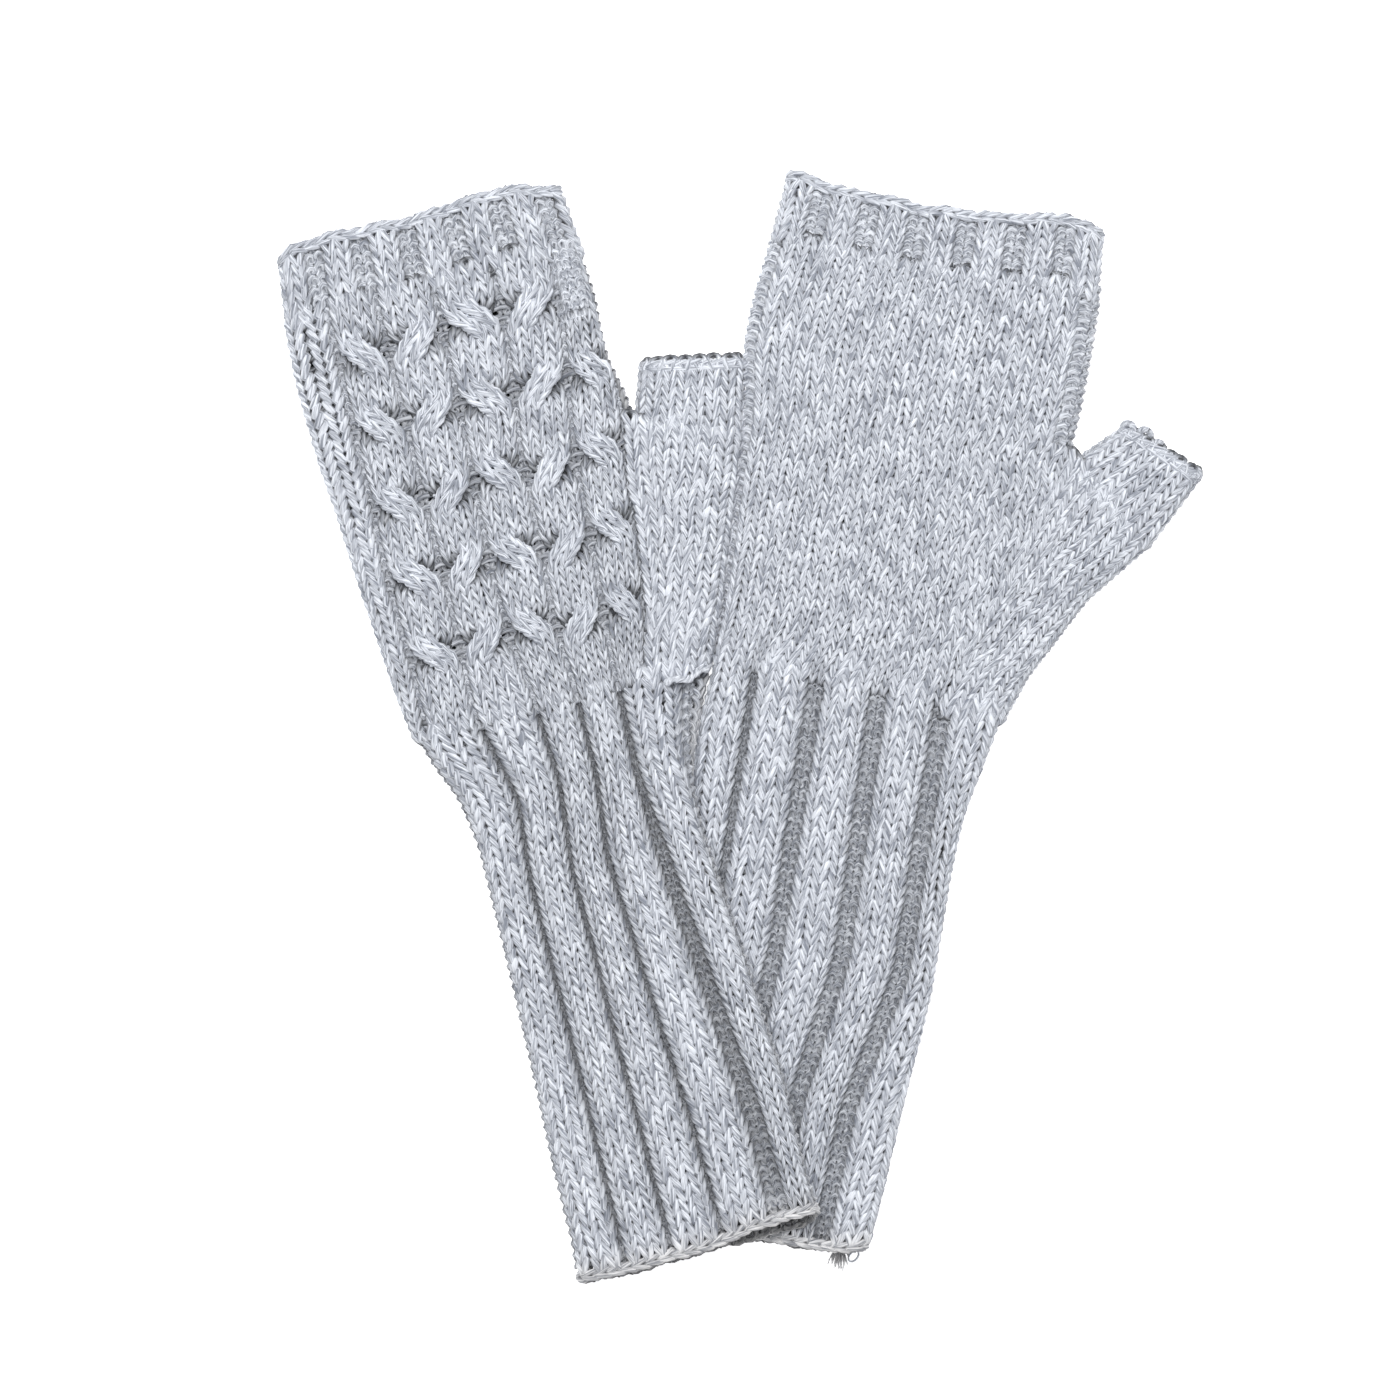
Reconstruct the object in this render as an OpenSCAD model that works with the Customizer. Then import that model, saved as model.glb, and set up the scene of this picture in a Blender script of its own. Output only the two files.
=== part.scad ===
// A pair of long knitted fingerless mitts lying flat, the left cuff over the right cuff.
// The left mitt shows its cabled back, and the right mitt shows its plain palm.
// Millimetres, +Z up. Each mitt is drawn along its own length, then turned into place.

/* [Mitt] */
// Length of a mitt from its cast-on edge to its finger edge
mitt_len = 289; // [285:1:293]
// Length of the ribbed cuff, up to the wrist line
cuff_len = 152; // [148:1:156]
// Length of the ribbed band over the fingers, without its edge
band_len = 17; // [12:1:22]
// Length of the cast-on edge and of each bind-off edge
edge_len = 2.6; // [2:0.2:3.6]

/* [Fabric] */
// Thickness of one layer of knitting
fabric_t = 3.2; // [2.8:0.1:3.4]
// Air gap between the palm layer and the back layer
hand_gap = 5.6; // [5.2:0.1:6.2]
// Gap between two sections that are knitted on to each other
seam_gap = 0.1; // [0.05:0.01:0.2]
// Gap across a wrist line or a thumb line, where the fabric bends
bend_gap = 0.5; // [0.4:0.1:1]

/* [Lie] */
// Lean of the left mitt to the left of the pair's middle line
left_lean = 15.3; // [15:0.1:15.6]
// Lean of the right mitt to the right of the pair's middle line
right_lean = 10.6; // [10.3:0.1:10.9]
// Air between the right cuff and the left cuff that lies across it
cross_gap = 0.6; // [0.5:0.1:1.2]
// Width of the slope by which the left cuff comes down to the table
slope_w = 26; // [22:1:30]

/* [Hidden] */

// Heights of the two flat layers and radii of the turned edges
half_h = fabric_t + hand_gap / 2;
full_h = 2 * half_h;
inner_r = hand_gap / 2;
upper_z = fabric_t + hand_gap;
// Flat strip that each turned edge keeps beside its round
fold_flat = 1;
fold_w = half_h + fold_flat;
// Facets round a turned edge, and across a layer that drapes
fold_facets = 8;
drape_facets = 12;
flat_facets = 1;
// Distance between the cross-sections of a cuff and of a hand
ring_step = 12;
// Height and end of the left cuff's ride over the right cuff
ride_h = full_h + cross_gap;
ride_full_s = 124;
ride_end_s = 146;
// How far past the right cuff's edge the left cuff stays at full height
ride_over = 1.5;
// Middle of the pair's outline, which is the origin
pair_mid = [-0.05, 1.64];
// Stations of the wrist, the finger band and the finger edge
cuff_end = cuff_len - bend_gap / 2;
hand_start = cuff_len + bend_gap / 2;
band_start = mitt_len - edge_len - band_len;
finger_edge = mitt_len - edge_len;
wool = [0.74, 0.76, 0.81];
shade = [0.64, 0.66, 0.72];

// Outlines: [distance along the mitt, distance across it]
left_outer = [
    [0, -34.5], [60, -32.5], [120, -31.3], [134, -32.6], [146, -37],
    [170, -41.5], [216, -44], [252, -45.5], [270, -44.2], [290, -41]
];
left_thumb_side = [
    [0, 33.8], [36, 35.2], [72, 33.7], [117, 30.8], [130, 32.2],
    [143, 38], [156, 45.6], [170, 51.8], [188, 59.2], [208, 67]
];
left_index_side = [[218, 38.9], [232, 39.6], [264, 40.2], [276, 38.6], [290, 38.6]];
right_outer = [
    [0, -33], [60, -35.5], [125, -38.5], [150, -39.1], [170, -39.3],
    [200, -41], [217, -42.2], [234, -45.8], [252, -46.5], [274, -44.8], [290, -43.6]
];
right_thumb_side = [
    [0, 32], [38, 34.2], [72, 36], [122, 36.2], [140, 39.3],
    [163, 46.2], [187, 58], [203, 70.2]
];
right_index_side = [[223, 47], [257, 46.6], [276, 46], [290, 44.4]];

// A mitt: where its cuff starts, its lean, its outlines, its thumb's corners
// and which of its faces lies on the table
base_at = 0;
lean_at = 1;
outer_at = 2;
thumb_side_at = 3;
index_side_at = 4;
crotch_at = 5;
thumb_base_at = 6;
thumb_tip_in_at = 7;
thumb_tip_out_at = 8;
gusset_foot_at = 9;
palm_down_at = 10;
left = [
    [-10.4, -140.4], left_lean, left_outer, left_thumb_side, left_index_side,
    [219, 38.9], [208.5, 67.2], [236, 45.7], [229, 73.4], 27, true
];
right = [
    [3.3, -139.1], -right_lean, right_outer, right_thumb_side, right_index_side,
    [224, 47], [204, 71], [237.5, 60], [226, 82.8], 27, false
];

function smooth(x) = let (c = max(0, min(1, x))) c * c * (3 - 2 * c);

// A point of a mitt, given along and across it, on the table's plane
function on_table(m, p) =
    m[base_at] - pair_mid + [
        p[1] * cos(m[lean_at]) - p[0] * sin(m[lean_at]),
        p[1] * sin(m[lean_at]) + p[0] * cos(m[lean_at])
    ];

// How far inside the right mitt's outer edge a point of the table lies
function inside_right(q) =
    let (
        d = q - right[base_at] + pair_mid,
        along = d[1] * cos(right_lean) + d[0] * sin(right_lean),
        across = d[0] * cos(right_lean) - d[1] * sin(right_lean)
    ) across - lookup(along, right_outer);

// Height at which the left mitt's underside lies: up over the right cuff, down at the hand
function ride(m, p) = m[palm_down_at]
    ? ride_h * smooth((inside_right(on_table(m, p)) + ride_over + slope_w) / slope_w)
        * smooth((ride_end_s - p[0]) / (ride_end_s - ride_full_s))
    : 0;

// A cross-section laid between two edge points of a mitt
function ring(m, a, b, section) = [
    for (q = section)
        let (p = a + (b - a) * q[0] / norm(b - a), t = on_table(m, p))
        [t[0], t[1], q[1] + ride(m, p)]
];

// Cross-sections, each a list of [distance across, height]
function slab(from, to, z, facets) = concat(
    [for (i = [0 : facets]) [from + (to - from) * i / facets, z]],
    [for (i = [facets : -1 : 0]) [from + (to - from) * i / facets, z + fabric_t]]
);
function round_edge(centre, r, from, to) = [
    for (i = [0 : fold_facets])
        let (a = from + (to - from) * i / fold_facets)
        [centre + r * cos(a), half_h + r * sin(a)]
];
function far_fold(w, flat_w) = concat(
    [[w - half_h - flat_w, 0]],
    round_edge(w - half_h, half_h, -90, 90),
    [[w - half_h - flat_w, full_h], [w - half_h - flat_w, full_h - fabric_t]],
    round_edge(w - half_h, inner_r, 90, -90),
    [[w - half_h - flat_w, fabric_t]]
);
function near_fold(w) = [
    for (q = reversed(far_fold(w, fold_flat))) [w - q[0], q[1]]
];
function reversed(list) = [for (i = [len(list) - 1 : -1 : 0]) list[i]];
function flat_run(from, to, z, facets) = [
    for (i = [1 : facets - 1]) [from + (to - from) * i / facets, z]
];
// Lower half of a flattened tube: two quarter rounds and a flat between them
function lower_half(w, facets) = concat(
    round_edge(half_h, half_h, 180, 270),
    flat_run(half_h, w - half_h, 0, facets),
    round_edge(w - half_h, half_h, 270, 360),
    round_edge(w - half_h, inner_r, 360, 270),
    flat_run(w - half_h, half_h, fabric_t, facets),
    round_edge(half_h, inner_r, 270, 180)
);
function upper_half(w, facets) = [
    for (q = reversed(lower_half(w, facets))) [q[0], full_h - q[1]]
];
// Whole outline of a flattened tube, brought in by a wall thickness
function tube_outline(w, inset, facets) = concat(
    round_edge(w - half_h, half_h - inset, -90, 90),
    flat_run(w - half_h, half_h, full_h - inset, facets),
    round_edge(half_h, half_h - inset, 90, 270),
    flat_run(half_h, w - half_h, inset, facets)
);

// A closed solid through a row of cross-sections. Its ends are closed by strips, because
// point i of each cross-section lies across the fabric from point n - 1 - i.
module skin(rings) {
    n = len(rings[0]);
    last = len(rings) - 1;
    near_cap = [for (i = [0 : n / 2 - 2]) [n - 1 - i, n - 2 - i, i + 1, i]];
    far_cap = [
        for (i = [0 : n / 2 - 2])
            [last * n + i, last * n + i + 1, last * n + n - 2 - i, last * n + n - 1 - i]
    ];
    walls = [
        for (k = [0 : last - 1], i = [0 : n - 1])
            let (j = (i + 1) % n)
            [k * n + i, k * n + j, (k + 1) * n + j, (k + 1) * n + i]
    ];
    polyhedron([for (r = rings) each r], concat(near_cap, walls, far_cap));
}

function stations(from, to) =
    let (count = ceil((to - from) / ring_step))
    [for (i = [0 : count]) from + (to - from) * i / count];
function facets_of(m) = m[palm_down_at] ? drape_facets : flat_facets;
function layer_z(m, palm) = palm == m[palm_down_at] ? 0 : upper_z;

// Edge points of a mitt at one station
function outer_point(m, s) = [s, lookup(s, m[outer_at])];
function thumb_side_point(m, s) = [s, lookup(s, m[thumb_side_at])];
function index_point(m, s) = [s, lookup(s, m[index_side_at])];

// A straight piece of layer between the two turned edges of the cuff
module cuff_layer(m, palm) {
    skin([
        for (s = stations(edge_len + seam_gap, cuff_end))
            let (a = outer_point(m, s), b = thumb_side_point(m, s), w = norm(b - a))
            ring(m, a, b, slab(fold_w + seam_gap, w - fold_w - seam_gap,
                layer_z(m, palm), facets_of(m)))
    ]);
}
module cuff_back_rib(m) color(wool) cuff_layer(m, false);
module cuff_palm_rib(m) color(wool) cuff_layer(m, true);

module cuff_outer_fold(m) color(shade) skin([
    for (s = stations(edge_len + seam_gap, cuff_end))
        let (a = outer_point(m, s), b = thumb_side_point(m, s))
        ring(m, a, b, near_fold(norm(b - a)))
]);

module cuff_thumb_fold(m) color(shade) skin([
    for (s = stations(edge_len + seam_gap, cuff_end))
        let (a = outer_point(m, s), b = thumb_side_point(m, s))
        ring(m, a, b, far_fold(norm(b - a), fold_flat))
]);

// A short ring of fabric round an open end, from one pair of edge points to the next
module end_ring(m, a0, b0, a1, b1, facets) {
    over = 0.5;
    ext0 = (a0 - a1) * over;
    ext1 = (b0 - b1) * over;
    difference() {
        skin([
            ring(m, a0, b0, tube_outline(norm(b0 - a0), 0, facets)),
            ring(m, a1, b1, tube_outline(norm(b1 - a1), 0, facets))
        ]);
        skin([
            ring(m, a0 + ext0, b0 + ext1, tube_outline(norm(b0 - a0), fabric_t, facets)),
            ring(m, a1 - ext0, b1 - ext1, tube_outline(norm(b1 - a1), fabric_t, facets))
        ]);
    }
}

module cuff_cast_on_edge(m) color(shade) end_ring(m,
    outer_point(m, 0), thumb_side_point(m, 0),
    outer_point(m, edge_len), thumb_side_point(m, edge_len), facets_of(m));

// The thumb line, where the gusset ends and the thumb tube starts: its inner end beside
// the hand's layers, its outer end, and the directions along it and out to the thumb's tip
function thumb_line_in(m) = m[crotch_at] - [0, fold_w];
function thumb_line_out(m) = m[thumb_base_at];
function thumb_line_dir(m) =
    let (d = thumb_line_out(m) - thumb_line_in(m)) d / norm(d);
function thumb_out_dir(m) = let (d = thumb_line_dir(m)) [d[1], -d[0]];

// The line between the hand's two layers and the gusset, from the wrist to the thumb line
function gusset_line(m, s) =
    let (foot = [cuff_len, m[gusset_foot_at]], top = thumb_line_in(m))
    foot + (top - foot) * (s - cuff_len) / (top[0] - cuff_len);

// A layer of the hand: beside the gusset up to the crotch, then up to the finger band
function hand_stations(m) = concat(
    stations(hand_start, m[crotch_at][0]),
    stations(m[crotch_at][0] + ring_step, band_start - seam_gap)
);
module hand_layer(m, palm) {
    skin([
        for (s = hand_stations(m))
            let (
                a = outer_point(m, s),
                b = s > m[crotch_at][0] ? index_point(m, s) - [0, fold_w] : gusset_line(m, s),
                w = norm(b - a)
            )
            ring(m, a, b, slab(fold_w + seam_gap, w - seam_gap, layer_z(m, palm), flat_facets))
    ]);
}
module back_cable_panel(m) color(wool) hand_layer(m, false);
module palm_panel(m) color(wool) hand_layer(m, true);

module hand_outer_fold(m) color(shade) skin([
    for (s = hand_stations(m))
        let (a = outer_point(m, s), b = index_point(m, s))
        ring(m, a, b, near_fold(norm(b - a)))
]);

module hand_index_fold(m) color(shade) skin([
    for (s = stations(m[crotch_at][0] + fold_flat, band_start - seam_gap))
        let (a = outer_point(m, s), b = index_point(m, s))
        ring(m, a, b, far_fold(norm(b - a), fold_flat - seam_gap))
]);

// The wedge below the thumb: rungs that turn from the wrist line to the thumb line
module thumb_gusset(m) {
    rungs = 8;
    top_s = thumb_line_in(m)[0] - bend_gap / 2;
    base_s = thumb_line_out(m)[0] - bend_gap / 2;
    color(wool) skin([
        for (i = [0 : rungs])
            let (
                f = i / rungs,
                a = gusset_line(m, hand_start + (top_s - hand_start) * f),
                b = thumb_side_point(m, hand_start + (base_s - hand_start) * f),
                w = norm(b - a)
            )
            ring(m, a, b, far_fold(w, w - half_h - seam_gap))
    ]);
}

// A half of the finger band
module finger_band(m, palm) {
    color(shade) skin([
        for (s = [band_start, finger_edge - seam_gap])
            let (
                a = outer_point(m, s),
                b = index_point(m, s),
                w = norm(b - a)
            )
            ring(m, a, b, trimmed(layer_z(m, palm) == 0
                ? lower_half(w, flat_facets)
                : upper_half(w, flat_facets), layer_z(m, palm) == 0))
    ]);
}
// Keeps a half tube clear of the other half, along the middle of its edges
function trimmed(section, low) = [
    for (q = section)
        [q[0], low ? min(q[1], half_h - seam_gap / 2) : max(q[1], half_h + seam_gap / 2)]
];
module finger_band_back(m) finger_band(m, false);
module finger_band_palm(m) finger_band(m, true);

module finger_bind_off_edge(m) color(wool) end_ring(m,
    outer_point(m, finger_edge), index_point(m, finger_edge),
    outer_point(m, mitt_len), index_point(m, mitt_len), flat_facets);

// The thumb's inner and outer edge points, from the thumb line to the tip
thumb_in_clear = 1;
thumb_edge_f = 0.88;
function thumb_in(m, f) =
    let (foot = thumb_line_in(m) + thumb_line_dir(m) * (fold_w + thumb_in_clear)
        + thumb_out_dir(m) * bend_gap / 2)
    foot + (m[thumb_tip_in_at] - foot) * f;
function thumb_out(m, f) =
    let (foot = thumb_line_out(m) + thumb_out_dir(m) * bend_gap / 2)
    foot + (m[thumb_tip_out_at] - foot) * f;
module thumb_tube(m) color(wool) end_ring(m,
    thumb_in(m, 0), thumb_out(m, 0),
    thumb_in(m, thumb_edge_f - 0.005), thumb_out(m, thumb_edge_f - 0.005), flat_facets);

module thumb_bind_off_edge(m) color(shade) end_ring(m,
    thumb_in(m, thumb_edge_f), thumb_out(m, thumb_edge_f),
    thumb_in(m, 1), thumb_out(m, 1), flat_facets);

// A short tuft of yarn at the cuff's edge, lying on the table
module yarn_tail(m) {
    tuft_r = 1.2;
    tuft_len = 6;
    tuft_across = 24.5;
    tuft_gap = 0.3;
    p = on_table(m, [-tuft_gap, tuft_across]);
    color(shade) translate([p[0], p[1], tuft_r])
        rotate([90, 0, m[lean_at] + 8]) cylinder(h = tuft_len, r1 = tuft_r, r2 = tuft_r / 2, $fn = 24);
}

cuff_cast_on_edge(right);  // right_cuff_cast_on_edge
cuff_back_rib(right);  // right_cuff_back_rib
cuff_palm_rib(right);  // right_cuff_palm_rib
cuff_outer_fold(right);  // right_cuff_outer_fold
cuff_thumb_fold(right);  // right_cuff_thumb_fold
yarn_tail(right);  // right_yarn_tail
back_cable_panel(right);  // right_back_cable_panel
palm_panel(right);  // right_palm_panel
hand_outer_fold(right);  // right_hand_outer_fold
hand_index_fold(right);  // right_hand_index_fold
thumb_gusset(right);  // right_thumb_gusset
finger_band_back(right);  // right_finger_band_back
finger_band_palm(right);  // right_finger_band_palm
finger_bind_off_edge(right);  // right_finger_bind_off_edge
thumb_tube(right);  // right_thumb_tube
thumb_bind_off_edge(right);  // right_thumb_bind_off_edge
cuff_cast_on_edge(left);  // left_cuff_cast_on_edge
cuff_back_rib(left);  // left_cuff_back_rib
cuff_palm_rib(left);  // left_cuff_palm_rib
cuff_outer_fold(left);  // left_cuff_outer_fold
cuff_thumb_fold(left);  // left_cuff_thumb_fold
back_cable_panel(left);  // left_back_cable_panel
palm_panel(left);  // left_palm_panel
hand_outer_fold(left);  // left_hand_outer_fold
hand_index_fold(left);  // left_hand_index_fold
thumb_gusset(left);  // left_thumb_gusset
finger_band_back(left);  // left_finger_band_back
finger_band_palm(left);  // left_finger_band_palm
finger_bind_off_edge(left);  // left_finger_bind_off_edge
thumb_tube(left);  // left_thumb_tube
thumb_bind_off_edge(left);  // left_thumb_bind_off_edge
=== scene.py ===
import math

import bpy
import numpy as np
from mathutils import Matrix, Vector


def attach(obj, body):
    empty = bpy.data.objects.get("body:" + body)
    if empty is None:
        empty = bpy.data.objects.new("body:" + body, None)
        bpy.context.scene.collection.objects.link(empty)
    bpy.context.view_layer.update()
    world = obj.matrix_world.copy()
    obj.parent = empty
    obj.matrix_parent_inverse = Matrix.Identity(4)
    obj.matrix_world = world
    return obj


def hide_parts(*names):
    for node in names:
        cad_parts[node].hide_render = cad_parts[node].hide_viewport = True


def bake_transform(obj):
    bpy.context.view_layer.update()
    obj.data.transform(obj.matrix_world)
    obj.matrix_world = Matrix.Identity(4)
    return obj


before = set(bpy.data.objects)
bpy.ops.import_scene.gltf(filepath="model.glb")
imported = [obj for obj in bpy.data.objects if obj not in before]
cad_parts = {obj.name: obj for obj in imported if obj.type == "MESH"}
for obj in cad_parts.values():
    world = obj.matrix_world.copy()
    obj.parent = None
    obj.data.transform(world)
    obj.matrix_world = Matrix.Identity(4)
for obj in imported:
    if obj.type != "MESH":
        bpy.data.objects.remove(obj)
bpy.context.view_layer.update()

# ---- sizes, in millimetres
MM = 0.001          # metres in a millimetre
MITT_LEN = 289.0
CUFF_LEN = 152.0
EDGE_LEN = 2.6
BAND_LEN = 17.0
HALF_H = 6.0        # half the height of a flattened tube
MID_R = 4.4         # radius of the fabric's middle round a turned edge
QUARTER = math.pi / 2 * MID_R
ROUND_GAIN = 2 * QUARTER - 2 * HALF_H   # how much longer half the tube's outline is than its width
BAND_START = MITT_LEN - EDGE_LEN - BAND_LEN
FINGER_EDGE = MITT_LEN - EDGE_LEN
# Where the left cuff rides over the right one: its lift, the stations where it is full and where it
# ends, how far it starts beyond the right mitt's edge, and the width of its slope
RIDE_H, RIDE_FULL_S, RIDE_END_S, RIDE_OVER, SLOPE_W = 12.6, 124.0, 146.0, 1.5, 26.0
PAIR_MID = (-0.05, 1.64)    # middle of the pair's outline, in the mitts' own layout
OFF_TABLE = 0.2     # how far the underside stays above the table
FOLD_W = 7.0        # width of the turned edge beside the index finger
CUFF_COURSE = 2.82  # height of a course of the cuff's ribbing

# A mitt: outer, thumb and index are its edges, as (station from the cuff's mouth, place across).
# finger_end, cuff_end and cuff_low are its open ends, as (place across, how far it stands out past a
# straight end), cuff_low for the lower face. base is the middle of its mouth, lean its angle and
# course the height of a course of its hand.
LEFT = dict(
    name="left", course=2.73, base=(-10.4, -140.4), lean=15.3, top="back", band_cols=26, thumb_rows=7,
    outer=[(0, -36.3), (30, -35.9), (60, -34.3), (90, -33.2), (120, -32.4), (134, -34.2), (146, -39.2),
           (170, -43.2), (196, -44.8), (216, -45.6), (232, -46.8), (252, -47.2), (270, -46), (290, -42.8)],
    thumb=[(0, 33.8), (36, 35.2), (72, 33.7), (110, 31.6), (117, 32), (130, 34.6), (143, 40.3), (156, 47.2),
           (170, 53.8), (188, 61.2), (208, 69)],
    index=[(218, 42.0), (226, 43.3), (232, 42.1), (238, 40.7), (245, 40.5), (255, 41.6), (264, 41.4),
           (276, 39.7), (290, 39)],
    finger_end=[(-44, 0), (-40, 0.6), (-37, 2.4), (-31, 3.2), (-25, 3.2), (-16, 2.5), (-7, 2.0), (2, 1.8),
                (8, 2.7), (17, 2.9), (23, 3.2), (29, 1.6), (35, 0.2), (40, -1.4)],
    cuff_end=[(-35, -1.8), (-20, -2.5), (0, -2.3), (8, -1.6), (14, -0.2), (35, 0)],
    cuff_low=[(-35, -2.6), (-22, -3.6), (6, -3.3), (14, -3.8), (35, -3.2)],
    crotch=(220.2, 39.8), thumb_base=(208, 69.2), tip_in=(235.6, 46.3), tip_out=(229.2, 75.4), web=(0, -0.8))
RIGHT = dict(
    name="right", course=2.46, base=(3.3, -139.1), lean=-10.6, top="palm", band_cols=28, thumb_rows=8,
    outer=[(0, -33), (60, -35.5), (100, -37.8), (115, -40), (127, -41.4), (140, -41.4), (152, -40.6),
           (170, -40.9), (200, -42.9), (217, -44.2), (226, -45.9), (234, -48), (241, -49.2), (252, -49),
           (262, -48), (272, -46.8), (290, -45.6)],
    finger_end=[(-46, -1.2), (-42, -1.4), (-36, -1.6), (-27, -3.3), (-19, -2.7), (-12, -3.5), (0, -3.6),
                (6, -2.6), (15, -2.5), (18, -1.3), (24, -0.9), (30, 0.4), (34, 1.3), (38, 0.2), (43, -1.6)],
    cuff_end=[(-12, -1.0), (20, -0.6), (26, 0.2), (33, 2.4)],
    cuff_low=[(-12, -3.0), (5, -1.6), (20, -1.2), (26, -0.8), (33, 2.6)],
    thumb=[(0, 32.4), (6, 33.9), (38, 35.4), (72, 36.4), (107, 36.1), (122, 36.9), (140, 40.6), (153, 43.1),
           (163, 46.5), (187, 58.7), (203, 71.2)],
    index=[(223, 47.2), (230, 47.4), (240, 48.1), (257, 48), (276, 47.4), (290, 45.8)],
    crotch=(224.6, 47), thumb_base=(203.4, 72), tip_in=(236.2, 58.7), tip_out=(226.6, 83.6), web=(1.2, -2.6))


def smooth(x):
    c = np.clip(x, 0.0, 1.0)
    return c * c * (3 - 2 * c)


def look(table, s):
    t = np.asarray(table, float)
    return np.interp(s, t[:, 0], t[:, 1])


def soften(table, reach=7.0):
    """The same outline with its corners rounded over a few millimetres."""
    at = np.arange(-20.0, 311.0)
    window = np.hanning(int(2 * reach) + 3)
    pad = len(window) // 2
    line = look(table, np.arange(at[0] - pad, at[-1] + pad + 1))
    return np.stack([at, np.convolve(line, window / window.sum(), "valid")], 1)


for mitt in (LEFT, RIGHT):
    for side in ("outer", "thumb", "index"):
        mitt[side + "_line"] = mitt[side]
        mitt[side] = soften(mitt[side])


def local_to_table(m, s, u):
    a = math.radians(m["lean"])
    x = m["base"][0] - PAIR_MID[0] + u * math.cos(a) - s * math.sin(a)
    y = m["base"][1] - PAIR_MID[1] + u * math.sin(a) + s * math.cos(a)
    return x, y


def ride_height(m, x, y, s):
    """How high the left mitt's underside lies, as part.scad has it."""
    if m is RIGHT:
        return np.zeros_like(x)
    a = math.radians(RIGHT["lean"])
    dx = x - RIGHT["base"][0] + PAIR_MID[0]
    dy = y - RIGHT["base"][1] + PAIR_MID[1]
    along = -dx * math.sin(a) + dy * math.cos(a)
    across = dx * math.cos(a) + dy * math.sin(a)
    inside = across - look(RIGHT["outer_line"], along)
    return (RIDE_H * smooth((inside + RIDE_OVER + SLOPE_W) / SLOPE_W)
            * smooth((RIDE_END_S - s) / (RIDE_END_S - RIDE_FULL_S)))


FINGER_END_S, FINGER_END_LEN, CUFF_END_LEN = 246.0, 40.0, 26.0  # how far an end's shape reaches
LOW_H = 9.0         # below this, a point at the cuff's mouth turns to the lower face


def end_shift(m, p):
    """How far the open ends stand out past straight lines, or back from them."""
    s, u, low = p[..., 0], p[..., 1], smooth(1 - p[..., 2] / LOW_H)
    fingers = look(m["finger_end"], u) * smooth((s - FINGER_END_S) / FINGER_END_LEN)
    cuff = look(m["cuff_low"], u) * low + look(m["cuff_end"], u) * (1 - low)
    return fingers + cuff * smooth((CUFF_END_LEN - s) / CUFF_END_LEN)


def to_world(m, p):
    """Points (s, u, z) of a mitt, in millimetres, as points of the row frame, in metres."""
    s = p[..., 0] + end_shift(m, p)
    x, y = local_to_table(m, s, p[..., 1])
    z = p[..., 2] + ride_height(m, x, y, p[..., 0])
    return np.stack([x, y, z], -1) * MM


# ---- the flattened tubes
def stadium(q, w, bottom):
    """Across a flattened tube w wide: q is the length along its middle from the near edge, on the
    top or the bottom face. Returns the distance across, the height and the outward normal."""
    flat = w - 2 * HALF_H
    near = np.clip(q, -QUARTER, QUARTER) / MID_R
    far = np.clip(q - QUARTER - flat, 0.0, 2 * QUARTER) / MID_R
    under = np.maximum(-q - QUARTER, 0.0) - np.maximum(q - 3 * QUARTER - flat, 0.0)
    mid = np.clip(q - QUARTER, 0.0, flat) + under
    x = HALF_H - MID_R * np.cos(near) + mid + MID_R * np.sin(far)
    z = HALF_H + MID_R * (np.sin(near) + np.cos(far) - 1)
    nx = -np.cos(near) + np.sin(far)
    nz = np.where(far > 0, np.cos(far), np.sin(near))
    if bottom:
        z, nz = 2 * HALF_H - z, -nz
    return x, z, nx, nz


def place_ring(m, side, bottom):
    """Round the cuff, or round the hand up to side, at station s."""
    def place(s, q, h):
        a, b = look(m["outer"], s), look(m[side], s)
        x, z, nx, nz = stadium(q, b - a, bottom)
        return np.stack([s, a + x + nx * h, z + nz * h], -1)
    return place


def place_between(m, near, far, bottom, whole):
    """Along rungs from a near line to a far line, both functions of a share f of the way up.
    whole: the tube is round at its near edge too; otherwise it starts flat there."""
    def place(f, q, h):
        a, b = near(f), far(f)
        d = b - a
        w = np.linalg.norm(d, axis=-1)
        d = d / w[..., None]
        if whole:
            x, z, nx, nz = stadium(q, w, bottom)
        else:
            x, z, nx, nz = stadium(q + QUARTER, w + HALF_H, bottom)
            x = x - HALF_H
        su = a + d * (x + nx * h)[..., None]
        return np.concatenate([su, (z + nz * h)[..., None]], -1)
    return place


# ---- knitting
SEGMENTS = 12       # rings along one stitch of yarn
SIDES = 6
LOOP_LEAN = 0.265   # how far a loop's legs lean, in stitch widths
LOOP_SKEW = 0.03    # how far the yarn's twist pushes a loop's top to the right
LOOP_REACH = 0.98   # how far a loop reaches up and down, in courses
LOOP_DEPTH = 0.72   # how far a leg lies in front of the middle
YARN_R, PURL_R = 0.236, 0.36    # radius of the yarn in a knit and in a purl stitch, in stitch widths
THIN_R, THICK_R = 0.5, 1.06     # the least and the most radius
PLUMP, PLUMP_SWING, PLUMP_SPREAD = 0.95, 0.12, 0.03     # how the radius varies in and between stitches
JITTER = 0.06       # how unevenly the loops lie, in stitch widths
DEEP_SHADE = 0.1    # painted shade: share of its colour that the yarn keeps where it lies deepest
INNER_SHADE = 0.6   # the same on the crests of the fabric's inner face
PURL_DEEP = 0.42    # the same for a purl stitch
LIT_FROM, LIT_OVER = -0.2, 1.55         # heights between which the yarn comes out of the painted shade
INNER_FROM, INNER_OVER = 0.75, 0.7      # the same on the inner face
GROOVE_FULL = 3.6   # depth of a groove that has its whole painted shade
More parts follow.
